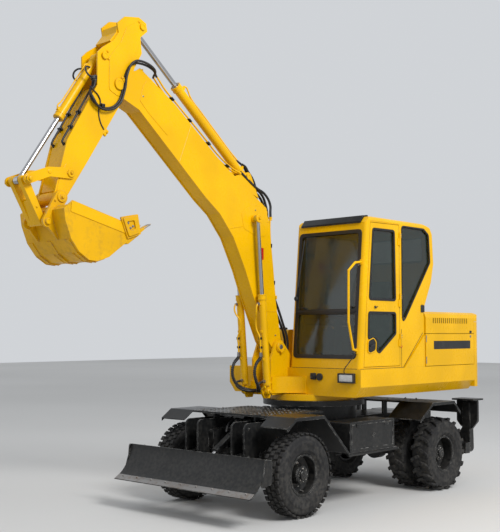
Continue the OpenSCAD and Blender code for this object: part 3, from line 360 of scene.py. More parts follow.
# Tyres: a carcass with moulded rings, and a tread drawn once and repeated round it. The front ones have fine
# blocks in four rows; the twins at the rear have chunky lugs that slant back from the middle.
rubber = surface("rubber", (0.009, 0.009, 0.01), (0.075, 0.07, 0.062), 0.72,
    worn=(0.05, 0.048, 0.045), dusty=0.45, wear=0.25, depth=0.3, grain=420.0, low_dirt=0.35, shine=0.3)
half = [(0.082, 0.2115), (0.1, 0.228), (0.108, 0.246), (0.1115, 0.248), (0.1135, 0.27), (0.113, 0.292),
    (0.115, 0.295), (0.1158, 0.33), (0.1125, 0.334), (0.111, 0.362), (0.105, 0.386)]
axle_y = 1.24
axle_z = 0.425
for wheel, body, places, y0, fine in (
        ("tyre_front_left", "wheel_front_left", (0.798,), -axle_y, True),
        ("tyre_front_right", "wheel_front_right", (-0.798,), -axle_y, True),
        ("tyres_rear_left", "wheels_rear_left", (0.903, 0.553), axle_y, False),
        ("tyres_rear_right", "wheels_rear_right", (-0.903, -0.553), axle_y, False)):
    draw(wheel + "_tread")
    for x in places:
        if fine:
            for row, (dx, wide) in enumerate(((-0.088, 0.04), (-0.03, 0.044), (0.03, 0.044), (0.088, 0.04))):
                a = 0.09 * (row % 2)
                middle = (x + dx, y0 - 0.4155 * math.sin(a), axle_z + 0.4155 * math.cos(a))
                block(middle, (wide, 0.05, 0.019), (a, 0, 0.12 if row in (1, 2) else 0), edge=0.004, steps=1)
                around(36, (x, y0, axle_z))
        else:
            for side in (-1, 1):
                a = 0.0 if side > 0 else 0.1745
                for dx, turn, wide in ((0.03, 0.5, 0.058), (0.078, 0.9, 0.062)):
                    b = a + dx * 1.2
                    middle = (x + side * dx, y0 - 0.41 * math.sin(b), axle_z + 0.41 * math.cos(b))
                    block(middle, (wide, 0.04, 0.03), (b, 0, -side * turn * 0.7), edge=0.005, steps=1)
                    around(18, (x, y0, axle_z))
                b = a + 0.16
                middle = (x + side * 0.106, y0 - 0.395 * math.sin(b), axle_z + 0.395 * math.cos(b))
                block(middle, (0.018, 0.036, 0.044), (b, side * 0.25, 0), edge=0.004, steps=1)
                around(18, (x, y0, axle_z))
        high = 0.008 if fine else 0.0
        outline = half + [(0.088, 0.394 + high), (0.05, 0.399 + high), (0.0, 0.401 + high)]
        back = [(d, r) for d, r in outline[-2::-1]]
        outline = [(-d, r) for d, r in outline] + back + [(-0.082, 0.2115)]
        turned((x, y0, axle_z), (1, 0, 0), outline, 56, closed=False)
    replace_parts(close(body, rubber, angle=40), wheel)

# Wheel nuts on their studs, hub caps with a ring of small bolts, and the tyres' valves, all of plated steel.
# The hub caps and the rings round the rims' holes are painted black with the rims.
nut_steel = surface("nut_steel", (0.62, 0.6, 0.56), (0.3, 0.2, 0.13), 0.35, worn=(0.7, 0.7, 0.7),
    metal=0.7, dusty=0.45, wear=0.3, depth=0.1)
for body, x, y, s, disc, hub in (
        ("wheel_front_left", 0.798, -axle_y, 1, -0.03, 0.058),
        ("wheel_front_right", -0.798, -axle_y, -1, -0.03, 0.058),
        ("wheels_rear_left", 0.903, axle_y, 1, -0.06, 0.02),
        ("wheels_rear_right", -0.903, axle_y, -1, -0.06, 0.02)):
    draw(body + "_nuts")
    seat = (x + s * disc, y, axle_z + 0.117)
    turned(seat, (s, 0, 0), [(0, 0.021), (0.006, 0.018), (0.0062, 0.0155), (0.024, 0.0155), (0.026, 0.013),
        (0.0262, 0.008), (0.038, 0.008), (0.04, 0.006)], 6)
    around(6, (x, y, axle_z))
    bolt((x + s * (hub + 0.012), y, axle_z + 0.064), (s, 0, 0), 0.006)
    around(8, (x, y, axle_z))
    rod((x + s * (disc + 0.02), y + 0.05, axle_z - 0.165), (x + s * (disc + 0.06), y + 0.055,
        axle_z - 0.172), 0.005, 10)
    close(body, nut_steel)
    draw(body + "_hub_cap")
    turned((x + s * hub, y, axle_z), (s, 0, 0), [(0, 0.088), (0.008, 0.088), (0.012, 0.082), (0.012, 0.052),
        (0.03, 0.05), (0.036, 0.044), (0.038, 0.022), (0.042, 0.02), (0.043, 0.006)], 36)
    for a in range(8):
        b = a * pi / 4 + 0.4
        hole = (x + s * (disc + 0.002), y + 0.165 * math.sin(b), axle_z + 0.165 * math.cos(b))
        turned(hole, (s, 0, 0), [(0, 0.022), (0.004, 0.022), (0.005, 0.019), (0.002, 0.012)], 16)
    close(body, black_paint)

# Blade: a steel cutting edge, worn bright by the ground, is bolted along the bottom. Behind it are painted
# ribs and the cylinder's pin caps.
draw("cutting_edge")
block((0, -2.123, 0.326), (1.972, 0.009, 0.078), (-1.007, 0, 0), edge=0.002)
close("blade", bare_steel)
draw("cutting_edge_bolts")
for k in range(9):
    bolt((-0.9 + k * 0.225, -2.11, 0.34), (0, -0.535, 0.845), 0.01, 1.3)
close("blade", bare_steel)
draw("blade_pins")
for s in (-1, 1):
    turned((s * 0.066, -1.8, 0.5), (s, 0, 0), [(0, 0.03), (0.006, 0.03), (0.009, 0.026)], 20)
    block((s * 0.5, -1.895, 0.5), (0.016, 0.1, 0.3), (-0.3, 0, 0), edge=0.002)
    block((s * 0.8, -1.905, 0.5), (0.016, 0.09, 0.3), (-0.3, 0, 0), edge=0.002)
close("blade", black_paint)

# Stabilisers and the rear: turned pin ends at the legs' heads, and a red lamp of moulded plastic on each
# side of the rear beam.
red_lens = surface("red_lens", (0.5, 0.012, 0.01), (0.25, 0.05, 0.04), 0.22, dusty=0.2, depth=0.3,
    grain=900.0)
draw("stabiliser_trim")
for s in (-1, 1):
    for y, way in ((1.786, -1), (2.02, 1)):
        turned((s * 0.9, y, 0.43), (0, way, 0), [(0, 0.03), (0.008, 0.03), (0.011, 0.025)], 20)
close("chassis", black_paint)
draw("rear_lamps")
for s in (-1, 1):
    block((s * 0.62, 1.892, 0.435), (0.15, 0.018, 0.07), edge=0.006)
close("chassis", red_lens)

# Upper body: sheet steel in glossy machine yellow, a little deeper in patches and rubbed dark along its
# edges, with chromed rods, tinted glass and black plastic.
yellow_paint = surface("yellow_paint", (0.81, 0.44, 0.0002), (0.45, 0.29, 0.02), 0.28,
    worn=(0.16, 0.13, 0.09), dusty=0.08, wear=0.4, depth=0.05, shine=0.22)
dress(yellow_paint, "hood_lid", "engine_door_left", "engine_door_right", "side_locker", "counterweight",
    "cab_shell", "door", "boom", "stick", "upper_frame", "boom_foot", "handrail", "boom_pipes", "boom_tubes",
    "arm_tube", "bucket_tube", "rocker", "bucket_link")
dress(black_paint, "engine_block")
chrome = surface("chrome", (0.5, 0.5, 0.51), (0.32, 0.3, 0.28), 0.19, metal=1.0, dusty=0.2, depth=0.02)
dress(chrome, "blade_rod", "stab_rod_left", "stab_rod_right", "boom_rods", "arm_rod", "bucket_rod")
glass = surface("window_glass", (0.008, 0.02, 0.016), (0.05, 0.07, 0.06), 0.1, dusty=0.18, depth=0.03,
    grain=1.5, shine=0.9)
glass.node_tree.nodes["Principled BSDF"].inputs["Alpha"].default_value = 0.62
dress(glass, "cab_glass", "door_glass")
plastic = surface("black_plastic", (0.014, 0.014, 0.015), (0.07, 0.066, 0.06), 0.55,
    worn=(0.1, 0.1, 0.1), dusty=0.3, wear=0.2)
dress(plastic, "lamps", "controls")


# Flat panels with holes, cut from sheet or moulded in rubber: outlines with rounded corners are drawn in a
# plane, given a thickness and a broken edge, and turned to face the side.
def rounded(corners, r, grow=0.0):
    steps = 6
    corners = [Vector(c) for c in corners]
    turning = sum(a.x * b.y - a.y * b.x for a, b in zip(corners, corners[1:] + corners[:1]))
    away = grow if turning > 0 else -grow
    moved = []
    for a, b, c in zip(corners[-1:] + corners[:-1], corners, corners[1:] + corners[:1]):
        p = (b - a).normalized()
        q = (c - b).normalized()
        out = Vector((p.y, -p.x)) + Vector((q.y, -q.x))
        moved.append(b + out * away / (out.length_squared / 2))
    path = []
    for a, b, c in zip(moved[-1:] + moved[:-1], moved, moved[1:] + moved[:1]):
        u = a - b
        v = c - b
        cut = min(max(r + grow, 0.002) / math.tan(u.angle(v) / 2), u.length * 0.45, v.length * 0.45)
        u = b + u.normalized() * cut
        v = b + v.normalized() * cut
        for k in range(steps + 1):
            t = k / steps
            path.append(u * (1 - t) ** 2 + b * 2 * k / steps * (1 - t) + v * t ** 2)
    return path


side_on = (pi / 2, 0, pi / 2)


def panel(name, loops, thick, place, body, finish, edge=0.0015, turn=side_on):
    bpy.ops.object.select_all(action="DESELECT")
    bpy.ops.curve.primitive_bezier_curve_add(location=(0, 0, 0))
    piece = bpy.context.object
    piece.name = name
    curve = piece.data
    curve.dimensions = "2D"
    curve.splines.clear()
    for loop in loops:
        line = curve.splines.new("POLY")
        line.points.add(len(loop) - 1)
        for knot, (u, v) in zip(line.points, loop):
            knot.co = (u, v, 0, 1)
        line.use_cyclic_u = True
    curve.fill_mode = "BOTH"
    curve.extrude = thick / 2 - edge
    curve.bevel_depth = edge
    curve.bevel_resolution = 1
    curve.offset = -edge
    bpy.ops.object.convert(target="MESH")
    piece.rotation_euler = turn
    piece.location = place
    bpy.ops.object.transform_apply(location=True, rotation=True, scale=True)
    bpy.ops.object.shade_smooth_by_angle(angle=math.radians(35))
    piece.data.materials.append(finish)
    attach(piece, body)


# Cab windows: moulded seals of black rubber lie on the panes' edges in every opening, and the windscreen's
# two panes are in one wide frame with a split bar between them.
seals = surface("seal_rubber", (0.004, 0.004, 0.005), (0.022, 0.021, 0.019), 0.42, dusty=0.2,
    depth=0.2, grain=500.0)
cab_side = 0.9665
windows = {
    "door_window_top": ([(-0.215, 2.225), (-0.14, 3.01), (0.27, 3.015), (0.285, 2.225)], 0.035,
        cab_side, "door"),
    "door_window_low": ([(-0.228, 2.085), (0.285, 2.085), (0.285, 1.85), (-0.03, 1.64), (-0.08, 1.66),
        (-0.08, 1.79), (-0.24, 1.79)], 0.035, cab_side, "door"),
    "quarter_window": ([(0.415, 1.935), (0.415, 3.085), (0.88, 3.085), (0.985, 3.02), (1.01, 2.69)], 0.05,
        cab_side, "upper"),
    "right_window": ([(-0.18, 1.95), (-0.13, 3.01), (0.85, 3.01), (0.96, 2.7), (0.8, 2.33), (0.8, 1.95)],
        0.05, -0.0365, "upper")}
for name, (corners, r, x, body) in windows.items():
    wide = 0.004 if name == "quarter_window" else 0.01
    panel(name + "_seal", [rounded(corners, r, wide), rounded(corners, r, -0.016)], 0.01, (x, 0, 0), body,
        seals, 0.003)
rear_window = [(0.085, 2.71), (0.845, 2.71), (0.845, 3.0), (0.085, 3.0)]
panel("rear_window_seal", [rounded(rear_window, 0.04, 0.006), rounded(rear_window, 0.04, -0.014)], 0.01,
    (0, 1.088, 0), "upper", seals, 0.003, (math.radians(90.9), 0, 0))

sill = 1.465
rake = 0.0898
lean = math.atan2(1, rake)


def screen(x, z, off=0.0):
    return Vector((x, -0.39 + (z - sill) * rake - off, z))


def screen_loop(x0, z0, x1, z1, r):
    low, high = ((z - sill) / math.sin(lean) for z in (z0, z1))
    return rounded([(x0, low), (x1, low), (x1, high), (x0, high)], r)


panel("windscreen_frame", [screen_loop(0.014, 1.574, 0.906, 3.001, 0.055),
    screen_loop(0.056, 1.618, 0.864, 2.066, 0.035), screen_loop(0.056, 2.122, 0.864, 2.96, 0.04)], 0.007,
    screen(0, sill, 0.003), "upper", seals, turn=(lean, 0, 0))
draw("split_bar")
block(screen(0.46, 2.094, 0.008), (0.826, 0.012, 0.026), (lean - pi / 2, 0, 0), edge=0.004)
for x in (0.12, 0.8):
    block(screen(x, 2.14, 0.01), (0.05, 0.014, 0.02), (lean - pi / 2, 0, 0), edge=0.004)
close("upper", seals)

# Wiper: a turned housing for its motor at the windscreen's edge, a thin steel arm, and a rubber blade that
# lies on the glass, all black.
draw("wiper")
turned(screen(0.02, 2.25, 0.006), (0, -1, 0.09), [(0, 0.026), (0.016, 0.026), (0.022, 0.02), (0.022, 0.01)],
    20)
rod(screen(0.02, 2.25, 0.02), screen(0.07, 2.64, 0.024), 0.006, 10, 0.002)
block(screen(0.07, 2.64, 0.018), (0.016, 0.014, 0.045), (0.09, 0.02, 0))
rod(screen(0.04, 2.38, 0.013), screen(0.096, 2.92, 0.013), 0.006, 8, 0.002)
rod(screen(0.04, 2.38, 0.007), screen(0.096, 2.92, 0.007), 0.003, 6)
close("upper", plastic)

# A black strip of bevelled sheet closes the roof's front edge, and a painted drip rail is welded on over
# the door.
panel("roof_strip", [rounded([(-0.266, 3.066), (-0.262, 3.09), (-0.205, 3.158), (-0.122, 3.168),
    (-0.112, 3.146), (-0.19, 3.134), (-0.238, 3.078)], 0.008)], 0.846, (0.462, 0, 0), "upper", black_paint,
    0.004)
draw("drip_rail")
rod((0.962, -0.185, 3.098), (0.962, 0.38, 3.104), 0.006, 10, 0.002)
close("upper", yellow_paint)

# Door: a dark lock pocket in a pressed rim, with a plastic handle, key cylinder and latch. A rubber seal
# runs down its hinged edge, and its hinges are bolted to the cab.
pocket = [(-0.245, 1.77), (-0.25, 1.655), (-0.205, 1.64), (-0.11, 1.668), (-0.102, 1.76), (-0.15, 1.8)]
panel("lock_pocket", [rounded(pocket, 0.04)], 0.006, (0.967, 0, 0), "door", seals)
panel("lock_pocket_rim", [rounded(pocket, 0.04, 0.009), rounded(pocket, 0.04, -0.002)], 0.014, (0.968, 0, 0),
    "door", yellow_paint, 0.003)
draw("door_handle")
block((0.976, -0.172, 1.722), (0.012, 0.085, 0.018), (0.2, 0, 0), edge=0.004)
turned((0.968, -0.205, 1.69), (1, 0, 0), [(0, 0.012), (0.006, 0.012), (0.008, 0.009), (0.006, 0.004)], 16)
turned((0.964, -0.11, 2.145), (1, 0, 0), [(0, 0.012), (0.01, 0.012), (0.012, 0.008)], 16)
block((0.978, -0.1, 2.14), (0.008, 0.055, 0.01), (0.35, 0, 0), edge=0.002)
close("door", plastic)
draw("door_seal")
rod((0.96, 0.3685, 1.5), (0.96, 0.3685, 3.075), 0.004, 8)
close("upper", seals)
draw("hinge_bolts")
for z in (1.7, 2.15, 2.85):
    for dz in (0.108, 0.132):
        bolt((0.974, 0.395, z + dz), (1, 0, 0), 0.005)
close("upper", bare_steel)

# A red reflector of moulded plastic on the cab's door post, and two red lamps on each side of the
# counterweight. The cab's sheets meet in dark seams, and a plastic relay box is fixed by its side window.
draw("reflectors")
turned((0.96, 0.4, 1.705), (1, 0, 0), [(0, 0.016), (0.007, 0.016), (0.01, 0.012), (0.011, 0.005)], 20)
for s in (-1, 1):
    for z in (1.42, 1.52):
        turned((s * 0.8, 2.145, z), (0, 1, 0), [(0, 0.05), (0.012, 0.05), (0.02, 0.042), (0.024, 0.02),
            (0.025, 0.005)], 28)
close("upper", red_lens)
draw("panel_seams")
rod((0.966, 0.433, 1.468), (0.966, 0.838, 1.86), 0.0028, 6)
rod((0.966, 0.4, 1.47), (0.966, 0.4, 1.9), 0.0024, 6)
rod((0.966, -0.38, 1.4665), (0.966, 0.433, 1.4665), 0.0035, 6)
rod((0.01, -0.3915, 1.4665), (0.925, -0.3915, 1.4665), 0.0035, 6)
close("upper", seals)
draw("relay_box")
block((0.943, 0.838, 2.14), (0.062, 0.074, 0.084), edge=0.007, steps=3)
block((0.95, 0.838, 2.186), (0.03, 0.056, 0.012))
close("upper", plastic)

# Head lamp in the frame's front: a black plastic surround, a ribbed glass lens, and a rubber cable up to the
# foot of the handrail, which is bolted on. Beside it is a plastic socket under a round cover.
draw("lamp_surround")
for x, z, w, h in ((0.805, 1.322, 0.216, 0.014), (0.805, 1.413, 0.216, 0.014), (0.704, 1.3675, 0.014, 0.1),
        (0.906, 1.3675, 0.014, 0.1)):
    block((x, -0.434, z), (w, 0.022, h), edge=0.004)
block((0.33, -0.41, 1.375), (0.07, 0.022, 0.074), edge=0.006)
turned((0.33, -0.418, 1.375), (0, -1, 0), [(0, 0.026), (0.014, 0.026), (0.016, 0.022), (0.01, 0.016)])
turned((0.385, -0.398, 1.378), (0, -1, 0), [(0, 0.015), (0.014, 0.013), (0.016, 0.008)], 16)
close("upper", plastic)
lens_glass = surface("lamp_lens", (0.62, 0.62, 0.6), (0.45, 0.43, 0.4), 0.12, metal=0.35, dusty=0.3,
    depth=0.5, grain=160.0)
draw("lamp_lens")
block((0.805, -0.432, 1.3675), (0.184, 0.014, 0.076), edge=0.005)
for k in range(9):
    block((0.733 + 0.018 * k, -0.4395, 1.3675), (0.007, 0.004, 0.062), edge=0.0015, steps=1)
close("upper", lens_glass)
hose("lamp_cable", [(0.78, -0.425, 1.415), (0.785, -0.44, 1.45), (0.84, -0.43, 1.53), (0.895, -0.41, 1.61),
    (0.908, -0.39, 1.655)], 0.005, "upper", sides=3)
draw("handrail_bolts")
for z in (1.664, 2.62):
    for dz in (-0.02, 0.02):
        bolt((0.893, -0.392 if z < 2 else -0.304, z + dz), (0, -1, 0.09), 0.006)
close("upper", bare_steel)

# Hood: a black sheet close behind the eighteen slots of each side, with a black block and a rod in every
# slot, is painted shade that darkens the slots. The engine doors have a blank plate, a lock and two hinge
# barrels each, and the lid has two locks and hinges.
draw("slot_painted_shade")
for s in (-1, 1):
    block((s * 0.96, 1.4325, 2.005), (0.004, 0.8, 0.076), edge=0.001, steps=1)
    for k in range(18):
        block((s * 0.969, 1.05 + k * 0.045, 2.005), (0.012, 0.0185, 0.0625), edge=0.001, steps=1)
        rod((s * 0.976, 1.046 + k * 0.045, 1.975), (s * 0.976, 1.046 + k * 0.045, 2.035), 0.0028, 6)
close("hood_lid", seals)
for s, body in ((1, "engine_door_left"), (-1, "engine_door_right")):
    plate = [(1.056, 1.665), (1.893, 1.665), (1.893, 1.763), (1.056, 1.763)]
    panel(body + "_plate", [rounded(plate, 0.006)], 0.0025, (s * 0.9808, 0, 0), body, plastic, 0.0006)
    draw(body + "_lock")
    turned((s * 0.979, 1.9, 1.815), (s, 0, 0), [(0, 0.016), (0.004, 0.016), (0.006, 0.012), (0.003, 0.005)],
        20)
    for z in (1.54, 1.79):
        rod((s * 0.979, 0.894, z - 0.04), (s * 0.979, 0.894, z + 0.04), 0.007, 12, 0.002)
    close(body, bare_steel)
draw("lid_locks")
for s in (-1, 1):
    block((s * 0.984, 1.9, 1.875), (0.01, 0.04, 0.022))
    rod((s * 0.982, 1.878, 1.862), (s * 0.982, 1.922, 1.862), 0.006, 12, 0.002)
for x in (-0.55, 0.55):
    rod((x - 0.05, 0.893, 2.112), (x + 0.05, 0.893, 2.112), 0.008, 12, 0.002)
    block((x, 0.93, 2.113), (0.08, 0.07, 0.006), edge=0.002)
close("hood_lid", black_paint)

# Counterweight: a steel tow pin between two lugs, a blank plastic number plate on two bolts, and two turned
# plugs in the holes for lifting it.
draw("tow_pin")
for z in (1.285, 1.365):
    block((0, 2.148, z), (0.16, 0.05, 0.022), edge=0.006)
turned((0, 2.152, 1.255), (0, 0, 1), [(0, 0.016), (0.13, 0.016), (0.132, 0.03), (0.142, 0.03),
    (0.146, 0.024)], 20)
for s in (-1, 1):
    turned((s * 0.62, 2.06, 1.99), (0, 0, 1), [(0, 0.03), (0.01, 0.03), (0.014, 0.022), (0.02, 0.022)], 20)
close("upper", black_paint)
draw("number_plate")
block((0, 2.153, 1.64), (0.44, 0.006, 0.14), edge=0.002)
for x in (-0.17, 0.17):
    bolt((x, 2.156, 1.64), (0, 1, 0), 0.006)
close("upper", plastic)

# Right side: the tank housing's moulded cap with fourteen sides, and its lid's seam, handle and hinges, all
# in black plastic.
draw("tank_housing_trim")
turned((-0.735, 0.3, 1.898), (0, 0, 1), [(0, 0.055), (0.014, 0.058), (0.026, 0.054), (0.03, 0.03),
    (0.026, 0.026)], 14)
block((-0.974, 0.487, 1.86), (0.006, 0.68, 0.006), edge=0.001, steps=1)
block((-0.98, 0.487, 1.78), (0.014, 0.11, 0.018), edge=0.004)
for y in (0.2, 0.77):
    rod((-0.976, y, 1.845), (-0.976, y, 1.875), 0.008, 12, 0.002)
close("upper", plastic)

# Cab interior: folded rubber boots round the feet of both levers. The seat has two cloth cushions, blown up
# and held down along their sewn channels, with a piping along both sides.
draw("lever_boots")
for s in (-1, 1):
    turned((0.465 + s * 0.325, 0.13, 1.893), (0, 0, 1), [(0, 0.042), (0.006, 0.044), (0.014, 0.034),
        (0.02, 0.036), (0.028, 0.026), (0.034, 0.028), (0.044, 0.014)])
close("upper", hose_rubber)
cloth = surface("seat_cloth", (0.022, 0.023, 0.026), (0.06, 0.058, 0.055), 0.9, dusty=0.3,
    depth=0.25, grain=700.0, shine=0.2)
dress(cloth, "seat_pads")
draw("seat_cushions")
block((0.465, 0.283, 1.79), (0.43, 0.4, 0.092), edge=0.022, steps=3)
block((0.465, 0.59, 2.115), (0.405, 0.07, 0.7), (-0.1326, 0, 0), edge=0.02, steps=3)
bpy.ops.object.mode_set(mode="OBJECT")
cushions = bpy.context.object
bpy.ops.object.modifier_add(type="REMESH")
cushions.modifiers[-1].mode = "VOXEL"
cushions.modifiers[-1].voxel_size = 0.0065
bpy.ops.object.modifier_apply(modifier=cushions.modifiers[-1].name)
sewn = cushions.vertex_groups.new(name="sewn")
channels = (0.325, 0.418, 0.512, 0.605)
held = [v.index for v in cushions.data.vertices if min(abs(v.co.x - x) for x in channels) < 0.0035]
sewn.add(held, 1.0, "REPLACE")
before = [v.co.copy() for v in cushions.data.vertices]
bpy.ops.object.modifier_add(type="CLOTH")
blown = cushions.modifiers[-1]
blown.settings.use_pressure = True
blown.settings.uniform_pressure_force = 4
blown.settings.effector_weights.gravity = 0
blown.settings.vertex_group_mass = "sewn"
for step in range(1, 21):
    bpy.context.scene.frame_set(step)
bpy.ops.object.modifier_apply(modifier=blown.name)
most = 0.016
for v, start in zip(cushions.data.vertices, before):
    moved = v.co - start
    if moved.length > most:
        v.co = start + moved.normalized() * most
bpy.context.scene.frame_set(1)
bpy.ops.object.modifier_add(type="SUBSURF")
cushions.modifiers[-1].levels = 1
bpy.ops.object.modifier_apply(modifier=cushions.modifiers[-1].name)
bpy.ops.object.shade_smooth()
cushions.data.materials.append(cloth)
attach(cushions, "upper")
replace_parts(cushions, "seat_pads")
for k, x in enumerate((0.245, 0.685)):
    hose(f"seat_piping_{k}", [(x, 0.495, 1.78), (x, 0.478, 1.838), (x, 0.3, 1.842), (x, 0.12, 1.84),
        (x, 0.072, 1.815), (x, 0.07, 1.76)], 0.005, "upper", cloth, 3)

# Boom foot: painted pin caps, the boom's held by a bar and two bolts, with the steel pin's end showing in
# them. Boom, stick and bucket stand to the right of the cab, about one middle plane.
mid = -0.2


def outward(s, off, y, z, steps, sides=24):
    turned((mid + s * off, y, z), (s, 0, 0), steps, sides)


def side_bolt(s, off, y, z, r):
    bolt((mid + s * off, y, z), (s, 0, 0), r)


def pin_cap(s, off, y, z, r, bar=0.0, tilt=0.0):
    outward(s, off, y, z, [(0, r), (0.008, r), (0.012, r - 0.004), (0.012, r * 0.55), (0.009, r * 0.5),
        (0.009, 0.004)], 32)
    if bar:
        y += bar * math.cos(tilt)
        z += bar * math.sin(tilt)
        block((mid + s * off + s * 0.014, y, z), (0.01, 0.09, 0.026), (tilt + pi / 2, 0, 0))
        for d in (-0.028, 0.028):
            side_bolt(s, off + 0.019, y - d * math.sin(tilt), z + d * math.cos(tilt), 0.008)


draw("foot_pin_caps")
for s in (-1, 1):
    pin_cap(s, 0.159, -0.54, 1.7, 0.054, 0.052, -0.9)
    pin_cap(s, 0.196, -0.77, 1.205, 0.034)
    outward(s, 0.196, -0.77, 1.205, [(0.011, 0.018), (0.026, 0.018), (0.028, 0.014)], 6)
    side_bolt(s, 0.145, -0.66, 1.215, 0.011)
    side_bolt(s, 0.145, -0.69, 1.3, 0.011)
close("upper", yellow_paint)
draw("foot_pin_ends")
for s in (-1, 1):
    outward(s, 0.166, -0.54, 1.7, [(0, 0.026), (0.008, 0.026), (0.01, 0.022), (0.008, 0.008)])
close("upper", bare_steel)

# Boom cylinders: painted barrels with turned gland rings, bare steel ports, and a thin painted pipe down
# the front of each under bolted clips.
up = Vector((0, -0.17, 1.925)).normalized()


def ram(x, along, off=0.0):
    return Vector((x, -0.77, 1.205)) + up * along + Vector((0, -0.9961, -0.088)) * off


draw("ram_glands")
for x in (-0.03, -0.37):
    turned(ram(x, 1.026), up, [(0, 0.047), (0.002, 0.05), (0.014, 0.05), (0.016, 0.0475), (0.046, 0.0475),
        (0.048, 0.05), (0.058, 0.05), (0.06, 0.044), (0.06, 0.03)], 32)
    turned(ram(x, 0.076), up, [(0, 0.0425), (0.002, 0.045), (0.02, 0.045), (0.022, 0.0425)], 32)
    for a in range(4):
        block(ram(x, 0.985 - 0.31 * a, 0.044), (0.03, 0.022, 0.03), (0.088, 0, 0), edge=0.004)
close("boom_tubes", yellow_paint)
draw("ram_ports")
for x in (-0.03, -0.37):
    turned(ram(x, 0.985, 0.05), (0, -1, -0.088), [(0, 0.017), (0.016, 0.017), (0.018, 0.013), (0.034, 0.013),
        (0.036, 0.009)], 6)
    turned(ram(x, 0.12, 0.04), (0, -1, -0.088), [(0, 0.019), (0.02, 0.019), (0.022, 0.014), (0.04, 0.014),
        (0.042, 0.009)], 6)
close("boom_tubes", bare_steel)
for name, x, s in (("near", -0.03, -1), ("far", -0.37, 1)):
    hose(f"ram_pipe_{name}", [ram(x, 0.985, 0.08), ram(x, 0.95, 0.1), ram(x + s * 0.01, 0.89, 0.1),
        ram(x + s * 0.05, 0.8, 0.072), ram(x + s * 0.046, 0.7, 0.07), ram(x + s * 0.004, 0.62, 0.074),
        ram(x, 0.52, 0.072), ram(x, 0.43, 0.075)], 0.009, "boom_tubes", yellow_paint)
draw("pipe_clips")
for x in (-0.03, -0.37):
    for along in (0.5, 0.6):
        block(ram(x, along, 0.07), (0.04, 0.014, 0.028), (0.088, 0, 0))
        bolt(ram(x + 0.013, along, 0.077), (0, -1, -0.088), 0.005)
close("boom_tubes", black_paint)


# Wrapped hoses: rubber with a black plastic strip wound round it in a spiral as a guard. They lead from the
# boom cylinders' pipes, and plain ones from their feet, to a painted block on the slewing frame's floor.
def wrapped(name, points, r, pitch):
    core = hose(name, points, r, None)
    points = [Vector(p) for p in points]
    ends = [points[0] * 2 - points[1]] + points + [points[-1] * 2 - points[-2]]
    line = []
    for a, b, c, d in zip(ends, ends[1:], ends[2:], ends[3:]):
        steps = max(4, int((c - b).length / 0.004))
        for k in range(steps):
            t = k / steps
            square = (2 * a - 5 * b + 4 * c - d) * t * t
            cube = (3 * b - a - 3 * c + d) * t ** 3
            line.append(0.5 * (2 * b + (c - a) * t + square + cube))
    coil = []
    turn = 0.0
    for a, b in zip(line, line[1:]):
        way = (b - a).normalized()
        side = way.cross(Vector((0.95, 0.1, 0.2))).normalized()
        turn += (b - a).length / pitch * 2 * pi
        coil.append(a + (side * math.cos(turn) + way.cross(side) * math.sin(turn)) * r)
    guard = hose(name + "_guard", coil, 0.0045, None, plastic, 1)
    for piece in (core, guard):
        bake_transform(piece)


draw("pipe_ends")
for x in (-0.03, -0.37):
    turned(ram(x, 0.445, 0.075), -up, [(0, 0.013), (0.002, 0.017), (0.02, 0.017), (0.022, 0.02),
        (0.046, 0.02), (0.048, 0.015)], 6)
close("boom_tubes", bare_steel)
for k, (x0, x1) in enumerate(((-0.03, -0.115), (-0.37, -0.285))):
    wrapped(f"ram_hose_{k}", [ram(x0, 0.43, 0.075), ram(x0, 0.39, 0.08), (x0, -0.955, 1.52),
        (x0, -0.985, 1.43), (x0, -0.965, 1.34), (x0 * 0.8 + x1 * 0.2, -0.9, 1.262), (x1, -0.8, 1.215),
        (x1, -0.71, 1.206), (x1, -0.63, 1.206)], 0.015, 0.02)
    x2 = x1 + (0.035 if x1 < mid else -0.035)
    flexing(f"foot_hose_{k}", [ram(x0, 0.12, 0.076), (x0, -0.925, 1.29),
        (x0 * 0.7 + x2 * 0.3, -0.895, 1.232), (x2, -0.8, 1.204), (x2, -0.71, 1.202), (x2, -0.63, 1.202)],
        0.013)
draw("floor_manifold")
block((mid, -0.6, 1.203), (0.236, 0.07, 0.046), edge=0.005)
for x in (-0.115, -0.15, -0.25, -0.285):
    turned((x, -0.634, 1.205), (0, -1, 0), [(0, 0.014), (0.003, 0.019), (0.022, 0.019), (0.024, 0.016)], 6)
close("upper", black_paint)

# Four rubber hoses, side by side, rise from a steel block on the slewing frame to the pipes on the boom's
# back. Steel fittings hold their lower ends.
lines = (-0.12, -0.172, -0.228, -0.28)
for k, x in enumerate(lines):
    d = 0.012 * (k % 2)
    flexing(f"boom_hose_{k}", [(x, -0.555, 2.25), (x, -0.52, 2.19 - d), (x, -0.462, 2.08),
        (x, -0.405 + d, 1.96), (x, -0.35 + d, 1.85), (x, -0.325 + d, 1.72), (x, -0.35, 1.6),
        (x, -0.38, 1.5)], 0.0145)
draw("hose_ends_low")
for x in lines:
    turned((x, -0.384, 1.48), (0, 0.16, 1), [(0, 0.013), (0.004, 0.017), (0.022, 0.017), (0.024, 0.02),
        (0.044, 0.02), (0.046, 0.016), (0.07, 0.016)], 6)
block((mid, -0.385, 1.462), (0.23, 0.08, 0.04), edge=0.006)
close("upper", bare_steel)

